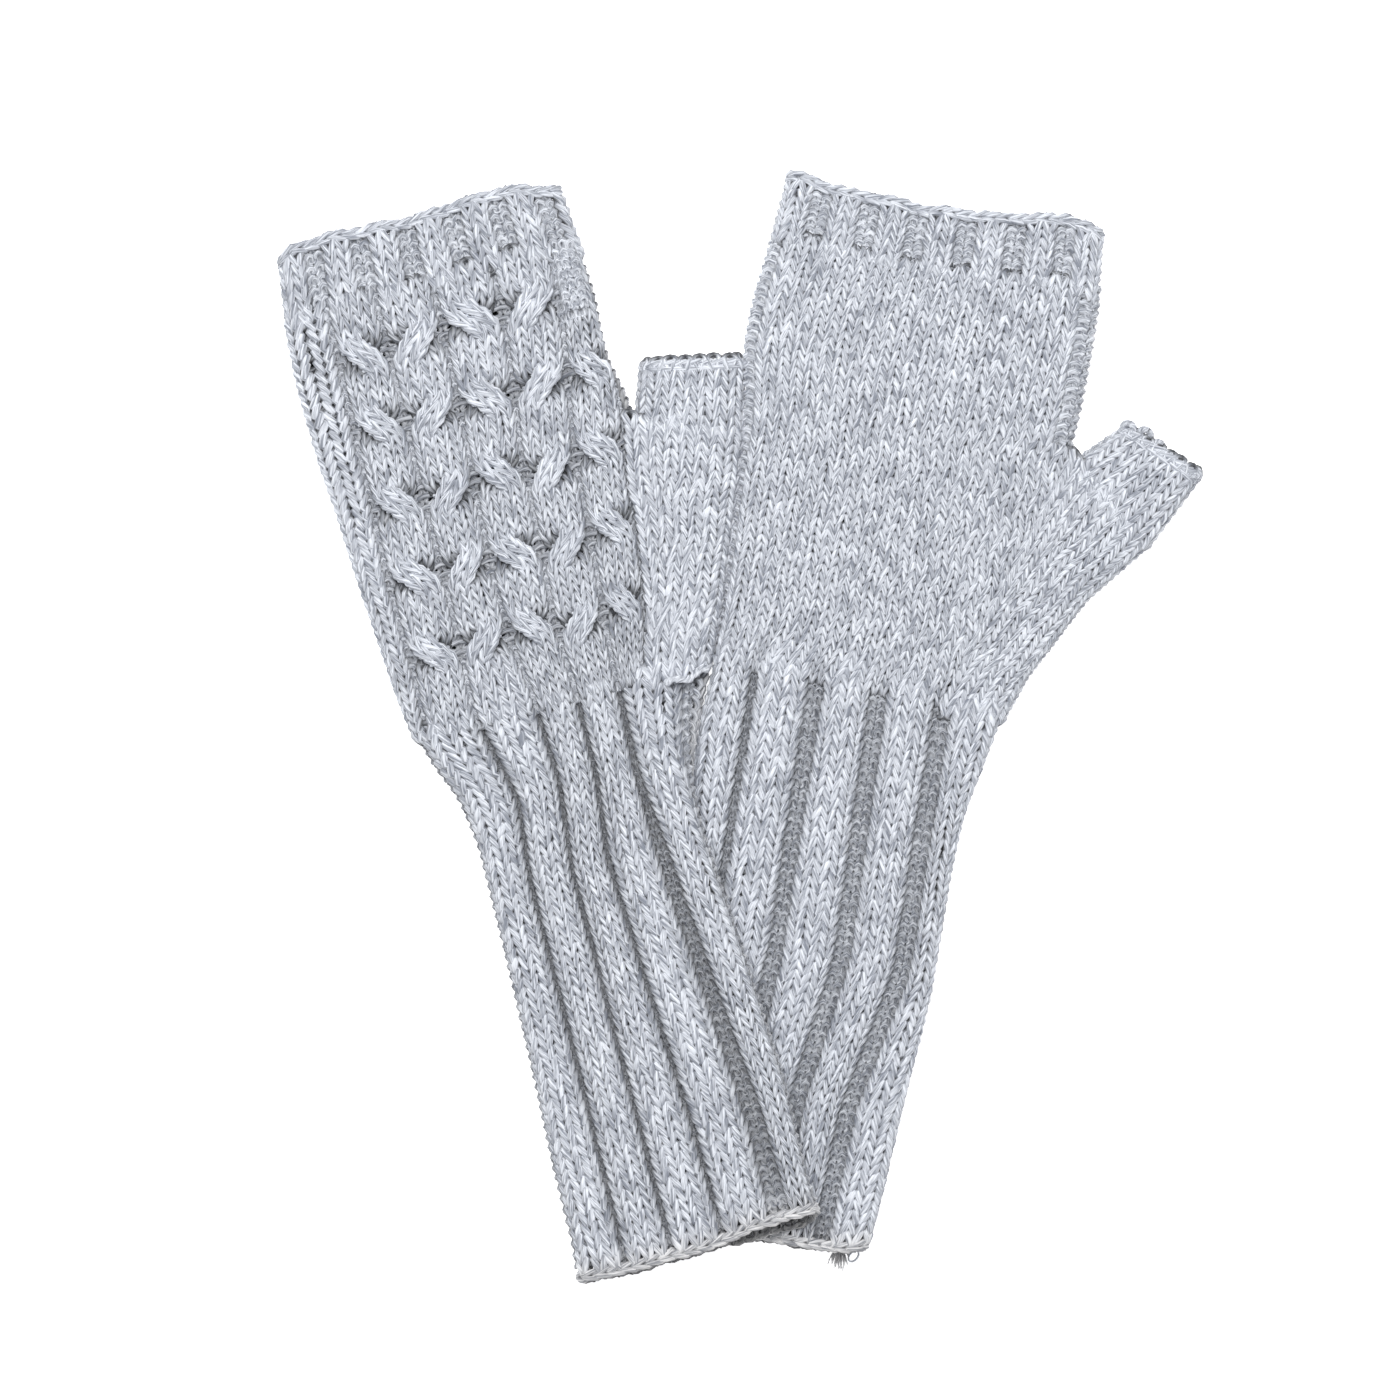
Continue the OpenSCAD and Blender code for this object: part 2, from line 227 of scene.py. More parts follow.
SIDE_H, SIDE_REACH, SIDE_WARM_SHADE = 5, 3.5, 0.4     # painted warm shade on the tube's sides, where light falls least: height, reach, strength
MOUTH_S, MOUTH_REACH, MOUTH_WARM_SHADE = 9, 13, 0.8   # the same painted warm shade towards the cuff's mouth
HAIRS = 0.55        # stray fibres to a stitch


def at_knots(values, knots, n):
    """A row of n values for each knot."""
    return values(knots) if callable(values) else np.broadcast_to(values, (len(knots), n))


class Fabric:
    """Rows and columns of stitches on a surface. place(v, q, h) gives a point, v_of(row) the
    station, bounds[knot, column] the columns' edges and relief[knot, 4 * column] the height.
    points() also leaves the painted warm shade of the points that it places, in an attribute of its own."""

    def __init__(self, m, place, v_of, n_rows, n_cols, bounds, relief, signs=None):
        """bounds and relief: functions of the knots, or values that every knot has."""
        self.m, self.place, self.v_of = m, place, v_of
        self.n_rows, self.n_cols = n_rows, n_cols
        knots = np.arange(-2.0, n_rows + 3.0)
        self.bounds = at_knots(bounds, knots, n_cols + 1)
        self.relief = at_knots(relief, knots, 4 * n_cols + 1)
        self.signs = signs or (lambda rows, cols: np.ones(rows.shape))
        # what a fabric may set for itself: its crossings, painted shade, thinnest purl, painted warm shade,
        # fibres and waves
        self.twist = None
        self.groove, self.deep, self.purl_deep = 0.2, DEEP_SHADE, PURL_DEEP
        self.purl_r, self.tan, self.fuzz = THIN_R, 0.0, 1.0
        self.wave_at = lambda row: 0.0
        self.shown = lambda rows, cols: np.ones(len(rows), bool)
        span = self.relief.max() - self.relief.min()
        self.crests = (self.relief - self.relief.min()) / (span if span > 0.1 else 1.0) * 2 - 1

    def sample(self, grid, row, x):
        r = np.clip(row + 2.0, 0.0, grid.shape[0] - 1.001)
        c = np.clip(x, 0.0, grid.shape[1] - 1.001)
        r0, c0 = np.floor(r).astype(int), np.floor(c).astype(int)
        fr, fc = r - r0, c - c0
        fc = fc + (x - c)
        low = grid[r0, c0] * (1 - fc) + grid[r0, c0 + 1] * fc
        high = grid[r0 + 1, c0] * (1 - fc) + grid[r0 + 1, c0 + 1] * fc
        return low * (1 - fr) + high * fr

    def points(self, row, x, z):
        q = self.sample(self.bounds, row, x)
        h = z + self.sample(self.relief, row, x * 4)
        v = self.v_of(row) + self.wave_at(row) * self.sample(self.crests, row, x * 4)
        p = self.place(v, q, h)
        # painted warm shade: the tube's sides and the cuff's mouth darkened to a warm tone
        self.warm = np.maximum(SIDE_WARM_SHADE * smooth(1 - np.abs(p[..., 2] - SIDE_H) / SIDE_REACH),
                               MOUTH_WARM_SHADE * smooth((MOUTH_S - p[..., 0]) / MOUTH_REACH))
        return to_world(self.m, p)


def stitch_lines(fabric, rows, cols, rng):
    """The yarn's middle line through each of these stitches, and the line's outward side."""
    t = np.linspace(-math.pi, math.pi, SEGMENTS + 1)[None, :]
    i, j = rows[:, None].astype(float), cols[:, None].astype(float)
    sign = fabric.signs(rows, cols)[:, None]
    before = fabric.signs(rows, np.maximum(cols - 1, 0))[:, None]
    after = fabric.signs(rows, np.minimum(cols + 1, fabric.n_cols - 1))[:, None]
    wobble = rng.normal(0, JITTER, (len(rows), 3))
    fade = np.cos(t / 2) ** 2
    x = (j + 0.5 + t / (2 * math.pi) + LOOP_LEAN * np.sin(2 * t) + LOOP_SKEW * (np.cos(t) + 1) / 2
         + fade * wobble[:, :1])
    y = i + 0.5 + LOOP_REACH * np.cos(t) + fade * wobble[:, 1:2]
    turn = np.where(t < 0, before, after)
    rest = np.where(np.abs(t) > math.pi / 2, -(sign + turn) / 2, -sign)
    z = LOOP_DEPTH * (sign + (rest - sign) * (1 + np.cos(2 * t)) / 2)
    if fabric.twist is not None:
        x, dy, dz = fabric.twist(rows[:, None], cols[:, None], x, y)
        y, z = y + dy, z + dz
    line = fabric.points(y, x, z)
    # painted warm shade: the more of the place's amount and the fabric's own least amount
    warm = np.maximum(fabric.warm, fabric.tan)
    out = fabric.points(y, x, z + 1.0) - line
    groove = fabric.sample(fabric.relief, y, x * 4) - fabric.relief.max()
    return line, out, t, z, groove, warm


def unit(v):
    return v / (np.linalg.norm(v, axis=-1, keepdims=True) + 1e-12)


def tubes(line, out, radius, sides=SIDES):
    """Rings of points round each line."""
    along = unit(np.gradient(line, axis=1))
    side = unit(np.cross(along, out))
    up = np.cross(side, along)
    a = np.arange(sides) / sides * 2 * math.pi + math.pi
    c, s = np.cos(a)[None, None, :, None], np.sin(a)[None, None, :, None]
    return line[:, :, None] + radius[..., None, None] * (up[:, :, None] * c + side[:, :, None] * s)


HAIR_STRIP = 0.06   # share of a piece's bake that its stray fibres take
CELL_GAP, CELL_FILL, CELL_ASPECT = 0.1, 0.8, 4.0    # a fibre's cell there: margin, fill and shape


class Batch:
    """Gathers tubes, and makes one mesh of them."""

    def __init__(self):
        self.verts, self.faces, self.yarn, self.bake, self.shade, self.warm = [], [], [], [], [], []
        self.count, self.hairs = 0, []

    def add(self, rings, shade, yarn_u, bake_u, bake_v, bake_h, warm=0.0):
        """rings: (tubes, rings, sides, 3). yarn_u: (tubes, rings) millimetres along the yarn.
        bake_u: (tubes, rings) 0-1. bake_v, bake_h: (tubes,) the strip that each tube bakes to."""
        n, k, sides, _ = rings.shape
        at = self.count + np.arange(n * k * sides).reshape(n, k, sides)
        a, b = at[:, :-1], at[:, 1:]
        quad = np.stack([a, b, np.roll(b, -1, 2), np.roll(a, -1, 2)], -1)
        self.faces.append(quad.reshape(-1, 4))
        self.verts.append(rings.reshape(-1, 3))
        # painted shade and painted warm shade, one value to each point
        self.shade.append(np.broadcast_to(shade, (n, k, sides)).ravel())
        self.warm.append(np.broadcast_to(warm, (n, k, sides)).ravel())
        self.count += n * k * sides
        ang = np.arange(sides + 1) / sides
        lo = np.broadcast_to(ang[:-1], (n, k - 1, sides))
        hi = np.broadcast_to(ang[1:], (n, k - 1, sides))

        def corners(u, v_of):
            u0 = np.broadcast_to(u[:, :-1, None], lo.shape)
            u1 = np.broadcast_to(u[:, 1:, None], lo.shape)
            us = np.stack([u0, u1, u1, u0], -1)
            vs = np.stack([v_of(lo), v_of(lo), v_of(hi), v_of(hi)], -1)
            return np.stack([us, vs], -1).reshape(-1, 2)

        self.yarn.append(corners(yarn_u, lambda v: v))
        v0, vh = bake_v[:, None, None], bake_h[:, None, None]
        self.bake.append(corners(bake_u, lambda v: v0 + vh * v))

    def add_hair(self, rings, yarn_u):
        self.hairs.append((rings, yarn_u))

    def place_hairs(self):
        """Gives every hair a small cell of its own in the bake's coordinates, above everything else."""
        self.bake = [b * (1.0, 1.0 - HAIR_STRIP) for b in self.bake]
        rings = np.concatenate([r for r, u in self.hairs])
        yarn_u = np.concatenate([u for r, u in self.hairs])
        n, k = rings.shape[:2]
        across = math.ceil(math.sqrt(n * CELL_ASPECT))
        down = math.ceil(n / across)
        cell = np.arange(n)
        t = np.linspace(0, 1, k)[None, :]
        bake_u = (cell % across + CELL_GAP)[:, None] / across + t * CELL_FILL / across
        bake_v = 1.0 - HAIR_STRIP + (cell // across + CELL_GAP) / down * HAIR_STRIP
        bake_h = np.full(n, CELL_FILL / down * HAIR_STRIP)
        self.add(rings, 1.0, yarn_u[:, None] + t, bake_u, bake_v, bake_h)

    def build(self, name, material):
        if self.hairs:
            self.place_hairs()
        verts, faces = np.concatenate(self.verts), np.concatenate(self.faces)
        me = bpy.data.meshes.new(name)
        me.vertices.add(len(verts))
        me.vertices.foreach_set("co", verts.astype(np.float32).ravel())
        me.loops.add(faces.size)
        me.loops.foreach_set("vertex_index", faces.astype(np.int32).ravel())
        me.polygons.add(len(faces))
        me.polygons.foreach_set("loop_start", np.arange(0, faces.size, 4, dtype=np.int32))
        me.update(calc_edges=True)
        me.shade_smooth()
        for layer, parts in (("OFBake", self.bake), ("Yarn", self.yarn)):
            uv = me.uv_layers.new(name=layer)
            uv.data.foreach_set("uv", np.concatenate(parts).astype(np.float32).ravel())
        me.uv_layers["OFBake"].active = True
        me.uv_layers["OFBake"].active_render = True
        # painted shade and painted warm shade, kept as point attributes for the wool
        for layer, parts in (("shade", self.shade), ("warm", self.warm)):
            tone = me.attributes.new(name=layer, type="FLOAT", domain="POINT")
            tone.data.foreach_set("value", np.concatenate(parts).astype(np.float32))
        me.materials.append(material)
        obj = bpy.data.objects.new(name, me)
        bpy.context.scene.collection.objects.link(obj)
        return obj


STITCH_MM = 11.0    # length of yarn in one stitch, for the yarn's own pattern
ROW_MM, SEED_MM = 517.3, 91.7   # keep the patterns of the rows and the pieces apart
BAKE_GAP, BAKE_FILL = 0.02, 0.96    # a stitch's margin and fill in its cell of the bake
WHOLE, HALVES = (0.0, 1.0), ((0.0, 0.5), (0.5, 1.0))    # shares of a piece's bake


def knit(batch, fabric, rows, cols, seed, strip=WHOLE, radius=None):
    """Adds the stitches of these rows and columns to a batch, where the fabric shows them."""
    rng = np.random.default_rng(seed)
    rr, cc = np.meshgrid(np.array(rows), np.array(cols), indexing="ij")
    rr, cc = rr.ravel(), cc.ravel()
    keep = fabric.shown(rr, cc)
    rr, cc = rr[keep], cc[keep]
    line, out, t, z, groove, warm = stitch_lines(fabric, rr, cc, rng)
    width = (fabric.sample(fabric.bounds, rr + 0.5, cc + 1.0)
             - fabric.sample(fabric.bounds, rr + 0.5, cc + 0.0))
    purl = fabric.signs(rr, cc) < 0
    thick = np.clip(width * np.where(purl, PURL_R, YARN_R), np.where(purl, fabric.purl_r, THIN_R), THICK_R)
    if radius is not None:
        thick = np.full(len(rr), radius)
    swing = PLUMP - PLUMP_SWING * np.cos(2 * t)
    plump = thick[:, None] * swing * (1 + rng.normal(0, PLUMP_SPREAD, (len(rr), 1)))
    rings = tubes(line, out, plump * MM)
    # painted shade: the yarn darkened where it lies deep in the fabric and in grooves, less so on the inner
    # face's crests
    level = z[..., None] + plump[..., None] * -np.cos(np.arange(SIDES) / SIDES * 2 * math.pi)
    deep = np.where(purl, fabric.purl_deep, fabric.deep)[:, None, None]
    lit = np.maximum(smooth((level - LIT_FROM) / LIT_OVER),
                     INNER_SHADE * smooth((-level - INNER_FROM) / INNER_OVER))
    shade = (deep + (1 - deep) * lit) * (1 - fabric.groove * smooth(-groove / GROOVE_FULL))[..., None]
    share = (t + math.pi) / (2 * math.pi)
    yarn_u = (cc[:, None] + share) * STITCH_MM + rr[:, None] * ROW_MM + seed * SEED_MM
    r0, c0 = rr.min(), cc.min()
    nr, nc = rr.max() - r0 + 1, cc.max() - c0 + 1
    lo, hi = strip
    bake_u = (cc[:, None] - c0 + share * BAKE_FILL + BAKE_GAP) / nc
    bake_v = lo + (rr - r0 + BAKE_GAP) / nr * (hi - lo)
    bake_h = np.full(len(rr), BAKE_FILL / nr * (hi - lo))
    batch.add(rings, shade, yarn_u, bake_u, bake_v, bake_h, warm[..., None])
    add_hairs(batch, line, out, plump, rng, HAIRS * fabric.fuzz)


HAIR_LEN, HAIR_RISE, HAIR_BEND = (0.0012, 0.0036), (0.1, 0.6), 0.5   # in metres, then shares of it
HAIR_R, HAIR_LOW, HAIR_RINGS, HAIR_SIDES = 0.000034, 0.00006, 5, 3


def add_hairs(batch, line, out, plump, rng, share):
    """Short stray fibres that stand out of the yarn."""
    n = int(len(line) * share)
    if not n:
        return
    i, k = rng.integers(0, len(line), n), rng.integers(2, SEGMENTS - 1, n)
    up = unit(out[i, k])
    lie = rng.normal(0, 1, (n, 3))
    lie = unit(lie - up * (lie * up).sum(-1, keepdims=True))
    side = np.cross(up, lie)
    length = rng.uniform(*HAIR_LEN, n)[:, None, None]
    rise = rng.uniform(*HAIR_RISE, n)[:, None, None]
    bend = rng.normal(0, HAIR_BEND, n)[:, None, None]
    t = np.linspace(0, 1, HAIR_RINGS)[None, :, None]
    start = line[i, k] + up * (plump[i, k] * 0.9 * MM)[:, None]
    path = start[:, None] + length * (t * lie[:, None] + bend * t * t * side[:, None]
                                      + rise * (t - 0.6 * t * t) * up[:, None])
    path[..., 2] = np.maximum(path[..., 2], HAIR_LOW)
    radius = np.full((n, HAIR_RINGS), HAIR_R) * (1.1 - t[..., 0])
    rings = tubes(path, np.broadcast_to(up[:, None], path.shape), radius, HAIR_SIDES)
    batch.add_hair(rings, rng.uniform(0, 900, n))


# ---- where the columns lie
P_HALF = 2.2        # width of half a turned purl pair
# Grooves between ribs: station, then the middle of each of the four, then the width of each
PALM_GROOVES = [(0, -24.4, -9.9, 4.6, 18.6, 2.2, 4.6, 4.6, 4.6),
                (38, -25, -10, 5.1, 19.3, 2.2, 4.6, 4.8, 4.8),
                (78, -25.5, -8.1, 10.1, 26.8, 2.2, 4.6, 5.0, 5.0),
                (152, -27.7, -10.8, 6.7, 24.5, 2.2, 4.6, 5.0, 5.0)]
BACK_GROOVES = [(0, -21.5, -8.5, 6, 22.3, 1.3, 1.3, 1.3, 6),
                (30, -20.7, -8.1, 5.8, 22.6, 1.3, 1.3, 1.3, 5),
                (107, -19.4, -7.6, 2.7, 17.4, 1.3, 1.3, 1.3, 3.8),
                (130, -16.8, -4.7, 5.6, 16.6, 1.3, 1.3, 1.3, 1.8),
                (152, -21.6, -5.3, 6.2, 17.8, 1.3, 1.3, 1.3, 1.6)]
# How far the purl pair at each turned edge has rolled on to the upper face
OUTER_ROLL = {"left": [(0, 0), (152, 0)],
              "right": [(0, -1.2), (160, -0.6), (205, 0.4), (245, 2.7), (290, 2.7)]}
THUMB_ROLL = {"left": [(0, 0), (115, 0), (130, -3), (146, -6.4), (152, -8)],
              "right": [(0, 1.5), (40, 1.5), (78, 4.5), (148, 0.5)]}
CUFF_SIGNS = [-1] + [1, 1, 1, -1, -1] * 4 + [1, 1, 1] + [-1]      # 1 is a knit column, -1 a purl one
CUFF_COLS = PALM_COLS = len(CUFF_SIGNS)
PALM_STARTS = (0.08, 0.26, 0.46, 0.66, 0.84)    # where the palm gains a column, as shares of its lower part
GUSSET_COLS, GUSSET_STARTS = 8, (0.16, 0.42, 0.68)
OLD_COLS = PALM_COLS - len(PALM_STARTS)
ALWAYS = -9.0       # a first row for the columns that run all the way
# The cabled back: station, then the middles of the purl columns beside and between the cables
CABLE_LINES = [(150, -36.5, -21.8, -5.3, 6.2, 17.8, 25.5), (157, -36.0, -22.2, -5.5, 6.2, 17.8, 27.0),
               (171, -35.3, -21.2, -7.2, 5.5, 19.0, 30.8), (190, -35.5, -20.4, -7.4, 7.0, 21.0, 34.0),
               (208, -34.8, -20.2, -6.2, 8.2, 22.3, 35.6), (219, -34.2, -19.9, -5.3, 8.8, 23.4, 38.0),
               (237, -33.5, -19.3, -4.0, 11.5, 26.8, 40.1), (258, -32.5, -18.5, -2.8, 14.2, 30.3, 40.4),
               (290, -31.0, -17.5, -1.5, 15.5, 32.0, 40.0)]
CROSSINGS = [(257, 238, 216, 195.5, 174), (257, 237, 214.8, 194.4, 173.2),
             (259, 237.4, 217, 194.7, 174.4), (258, 237, 214, 192.4, 171),
             (237.7, 216, 194.8, 173.6)]
CABLE_LEANS = (-1, 1, -1, 1, -1)
CABLE_SIGNS = [-1, 1, 1, -1] + [1, 1, 1, 1, -1] * 5
PURL_W = 1.5
CABLE_COLS = len(CABLE_SIGNS)
PATCH_COLS, PATCH_S = (24, 26), 251     # a purl patch above the last cable: its columns and its start
# Round stations of the crotches, the end of the tables, and where each mitt's thumb side lies
CROTCH_S, TABLE_END = {"left": 219.0, "right": 224.0}, 290.0
THUMB_SIDE = {"left": [(152, 27), (219, 38.9), (290, 39.5)], "right": [(152, 27), (224, 47), (290, 46)]}
# Where the palm's columns give way to the gusset's
PALM_SPLIT = {"left": [(152, 24.5), (219, 38.9)], "right": [(152, 24.5), (224, 47)]}
GUSSET_TUCK = 0.8   # how far the gusset reaches under them
CROTCH_BLEND = 2.0  # length over which the hand turns from the thumb line to the index line
CREST, CABLE_CREST = 0.5, 0.9
CABLE_WALE = 3.2    # width of a cable's column
CROSS_HALF = 5.2    # half the length of a crossing
CROSS_REACH, CROSS_NEAR = 2.0 * CROSS_HALF, 1.2 * CROSS_HALF    # what it moves, and what it raises
CROSS_WIDEN, CROSS_SLANT, CROSS_CROWN = 0.4, 0.9, 0.35
BESIDE_SPREAD, BESIDE_SINK = 1.1, 0.7   # how a purl column beside a crossing widens and sinks


def columns(table, s):
    t = np.asarray(table, float)
    return np.stack([np.interp(s, t[:, 0], t[:, k]) for k in range(1, t.shape[1])], -1)


def half_outline(m, side, s):
    return look(m[side], s) - look(m["outer"], s) + ROUND_GAIN


def to_q(m, s, u):
    """Length along the fabric from the outer edge to a place u across."""
    return u - look(m["outer"], s) + ROUND_GAIN / 2


def is_bottom(m, face):
    return face != m["top"]


def borrowed(m, face, s, table, ref):
    """Lines across one mitt, or the same lines stretched to fit the other mitt."""
    if m is ref:
        return columns(table, s)
    a0, b0 = look(ref["outer"], s), look(ref["thumb"], np.minimum(s, CUFF_LEN))
    a1, b1 = look(m["outer"], s), look(m["thumb"], np.minimum(s, CUFF_LEN))
    lines = columns(table, s)
    share = (lines[..., :4] - a0[..., None]) / (b0 - a0)[..., None]
    lines[..., :4] = a1[..., None] + share * (b1 - a1)[..., None]
    return lines


def spread(edges, counts):
    """Column edges between given edges, each gap cut into that many columns."""
    out = [edges[0]]
    for k, n in enumerate(counts):
        for c in range(1, n + 1):
            out.append(edges[k] + (edges[k + 1] - edges[k]) * c / n)
    return np.stack(out, -1)


def cuff_bounds(m, face, s):
    palm = face == "palm"
    g = borrowed(m, face, s, PALM_GROOVES if palm else BACK_GROOVES, RIGHT if palm else LEFT)
    flip = -1 if is_bottom(m, face) else 1
    near = flip * look(OUTER_ROLL[m["name"]], s)
    far = half_outline(m, "thumb", s) + flip * look(THUMB_ROLL[m["name"]], s)
    q = to_q(m, s[..., None], g[..., :4])
    edges = [near, near + P_HALF]
    for k in range(4):
        edges += [q[..., k] - g[..., 4 + k] / 2, q[..., k] + g[..., 4 + k] / 2]
    edges += [far - P_HALF, far]
    return spread(edges, [1, 3, 2, 3, 2, 3, 2, 3, 2, 3, 1])


def arch(x, n, depth, crest):
    """Height across a rib n columns wide, from -depth at its edges to its crest."""
    r = np.clip(np.abs(x / n * 2 - 1), 0, 1)
    return -depth + (depth + crest) * np.sqrt(1 - r ** 2)


def profile(signs, depth_of, crest_of, step=4):
    """Height at quarter columns, from the runs of knit and purl columns."""
    n = len(signs)
    out = np.zeros(n * step + 1)
    start = 0
    while start < n:
        end = start
        while end < n and signs[end] == signs[start]:
            end += 1
        x = np.arange((end - start) * step + 1) / step
        d = depth_of(start, end)
        if signs[start] > 0:
            h = arch(x, end - start, d, crest_of(start, end))
        else:
            h = np.full(len(x), -d)
        seg = slice(start * step, end * step + 1)
        out[seg] = np.where(out[seg] == 0, h, np.minimum(out[seg], h))
        start = end
    return out


def lowered(m, face, h):
    """Keeps the face that lies on the table above it."""
    return h - max(h.max(), 0) - OFF_TABLE if is_bottom(m, face) else h


def flat_relief(m, face):
    """Height of a plain fabric: no part of it comes below the lower face's limit."""
    return -CREST - OFF_TABLE if is_bottom(m, face) else 0.0


# depth of the cuff's grooves, and the painted shade in them
RIB_DEPTH, GROOVE_SHADE = {"back": 3.1, "palm": 2.4}, {"back": 0.5, "palm": 0.36}
FLAT_END, FLAT_LEFT = {"back": 9.0, "palm": 5.0}, 0.35  # how the ribs flatten towards the cast-on
CUFF_WAVE, BAND_WAVE = 0.3, 0.35    # how far the ribs' ends reach past the rest of an edge


def cuff_fabric(m, face):
    n = round((CUFF_LEN - EDGE_LEN) / CUFF_COURSE)
    step = (CUFF_LEN - EDGE_LEN) / n

    def v_of(row):
        return EDGE_LEN + row * step
    shape = profile(CUFF_SIGNS, lambda a, b: RIB_DEPTH[face] if (a > 0 and b < CUFF_COLS) else 1.0,
                    lambda a, b: CREST)
    shape = lowered(m, face, shape)

    def relief_at(knots):
        flat = FLAT_LEFT + (1 - FLAT_LEFT) * smooth((v_of(knots) - 2.0) / FLAT_END[face])
        return shape.max() + (shape - shape.max())[None, :] * flat[:, None]
    signs = np.array(CUFF_SIGNS, float)
    f = Fabric(m, place_ring(m, "thumb", is_bottom(m, face)), v_of, n, CUFF_COLS,
               lambda k: cuff_bounds(m, face, v_of(k)), relief_at, lambda r, c: signs[c])
    f.groove = GROOVE_SHADE[face]
    f.wave_at = lambda row: -CUFF_WAVE * smooth(1 - v_of(row) / 9.0)
    return f


def grown(weights, total, start):
    """Column edges from the columns' shares of the whole width."""
    w = weights / weights.sum(-1, keepdims=True) * total[..., None]
    return np.concatenate([start[..., None], start[..., None] + np.cumsum(w, -1)], -1)


def rows_below_crotch(m):
    return round((m["crotch"][0] - CUFF_LEN) / m["course"])


def rows_above_crotch(m):
    return round((BAND_START - m["crotch"][0]) / m["course"])


def hand_station(m, row):
    n1, n2, crotch = rows_below_crotch(m), rows_above_crotch(m), m["crotch"][0]
    low = CUFF_LEN + row * (crotch - CUFF_LEN) / n1
    high = crotch + (row - n1) * (BAND_START - crotch) / n2
    return np.where(row < n1, low, high)


def new_column_weights(knots, n_old, starts, grow=4.0):
    """Shares of n_old columns that run all the way and of those that start at these rows."""
    old = np.ones((len(knots), n_old))
    new = np.stack([smooth((knots - r) / grow) for r in starts], -1)
    return old, new


def started(starts, rows, cols):
    """Which stitches lie above their column's first row. starts: one row to a column."""
    return rows + 0.5 > np.array(starts)[cols] + 0.6


def split_at(m, face, s):
    """Where the hand's columns end below the crotch, across the mitt."""
    if face == "palm":
        return look(PALM_SPLIT[m["name"]], s)
    return cable_lines(m, s)[..., 5] + PURL_W / 2


def cable_lines(m, s):
    lines = columns(CABLE_LINES, s)
    if m is LEFT:
        return lines
    left, right = CROTCH_S["left"], CROTCH_S["right"]
    s_left = np.where(s < right, CUFF_LEN + (s - CUFF_LEN) * (left - CUFF_LEN) / (right - CUFF_LEN),
                      left + (s - right) * (TABLE_END - left) / (TABLE_END - right))
    lines = columns(CABLE_LINES, s_left)
    a0, b0 = look(LEFT["outer"], s_left), look(THUMB_SIDE["left"], s_left)
    a1, b1 = look(RIGHT["outer"], s), look(THUMB_SIDE["right"], s)
    return a1[..., None] + (lines - a0[..., None]) * ((b1 - a1) / (b0 - a0))[..., None]


def palm_bounds(m, rows):
    n1 = rows_below_crotch(m)
    s = hand_station(m, rows)
    flip = -1 if is_bottom(m, "palm") else 1
    near = flip * look(OUTER_ROLL[m["name"]], s)
    old, new = new_column_weights(rows, OLD_COLS, [n1 * f for f in PALM_STARTS])
    edge = to_q(m, s, look(PALM_SPLIT[m["name"]], s))
    above = half_outline(m, "index", s)
    far = np.where(rows <= n1, edge, edge + (above - edge) * smooth((rows - n1) / 1.0))
    b = grown(np.concatenate([old, new], -1), far - near, near)
    cuff = cuff_bounds(m, "palm", np.minimum(s, CUFF_LEN))
    mix = smooth(rows / 6.0)[:, None]
    k = OLD_COLS + 1
    b[:, :k] = cuff[:, :k] * (1 - mix) + b[:, :k] * mix
    b[:, k:] = np.maximum(b[:, k:], b[:, k - 1:k])
    return b


def place_hand(m, bottom):
    """Round the hand: out to the thumb line below the crotch, and to the index line above it."""
    below, above = place_ring(m, "thumb", bottom), place_ring(m, "index", bottom)

    def place(s, q, h):
        w = smooth((s - m["crotch"][0] + CROTCH_BLEND / 2) / CROTCH_BLEND)[..., None]
        return below(s, q, h) * (1 - w) + above(s, q, h) * w
    return place


def palm_fabric(m):
    n1, n2 = rows_below_crotch(m), rows_above_crotch(m)
    starts = [ALWAYS] * OLD_COLS + [n1 * f for f in PALM_STARTS]

    def signs(rows, cols):
        return np.where((cols == 0) | ((cols >= PALM_COLS - 2) & (rows >= n1 + 1)), -1.0, 1.0)

    def relief_at(knots):
        cuff = lowered(m, "palm", profile(CUFF_SIGNS, lambda a, b: 1.5, lambda a, b: CREST))
        x = np.arange(PALM_COLS * 4 + 1) / 4
        outer = -0.8 * np.exp(-((x - 0.5) / 0.8) ** 2)
        index = -0.8 * np.exp(-((x - PALM_COLS + 1.0) / 1.3) ** 2)
        fade = smooth(1 - (knots + 1) / 4.0)[:, None]
        high = smooth((knots - n1) / 2.0)[:, None]
        return cuff * fade + (outer + high * index + flat_relief(m, "palm")) * (1 - fade)
    f = Fabric(m, place_hand(m, is_bottom(m, "palm")), lambda r: hand_station(m, r), n1 + n2,
               PALM_COLS, lambda k: palm_bounds(m, k), relief_at, signs)
    f.shown = lambda rows, cols: started(starts, rows, cols)
    return f


def back_bounds(m, rows):
    s = hand_station(m, rows)
    q = to_q(m, s[..., None], cable_lines(m, s))
    near = look([(150, -4.2), (172, 0.0)], s)
    edges = [near, near + 1.6]
    for k in range(6):
        edges += [q[..., k] - PURL_W / 2, q[..., k] + PURL_W / 2]
    return spread(edges, [1, 2, 1] + [4, 1] * 5)


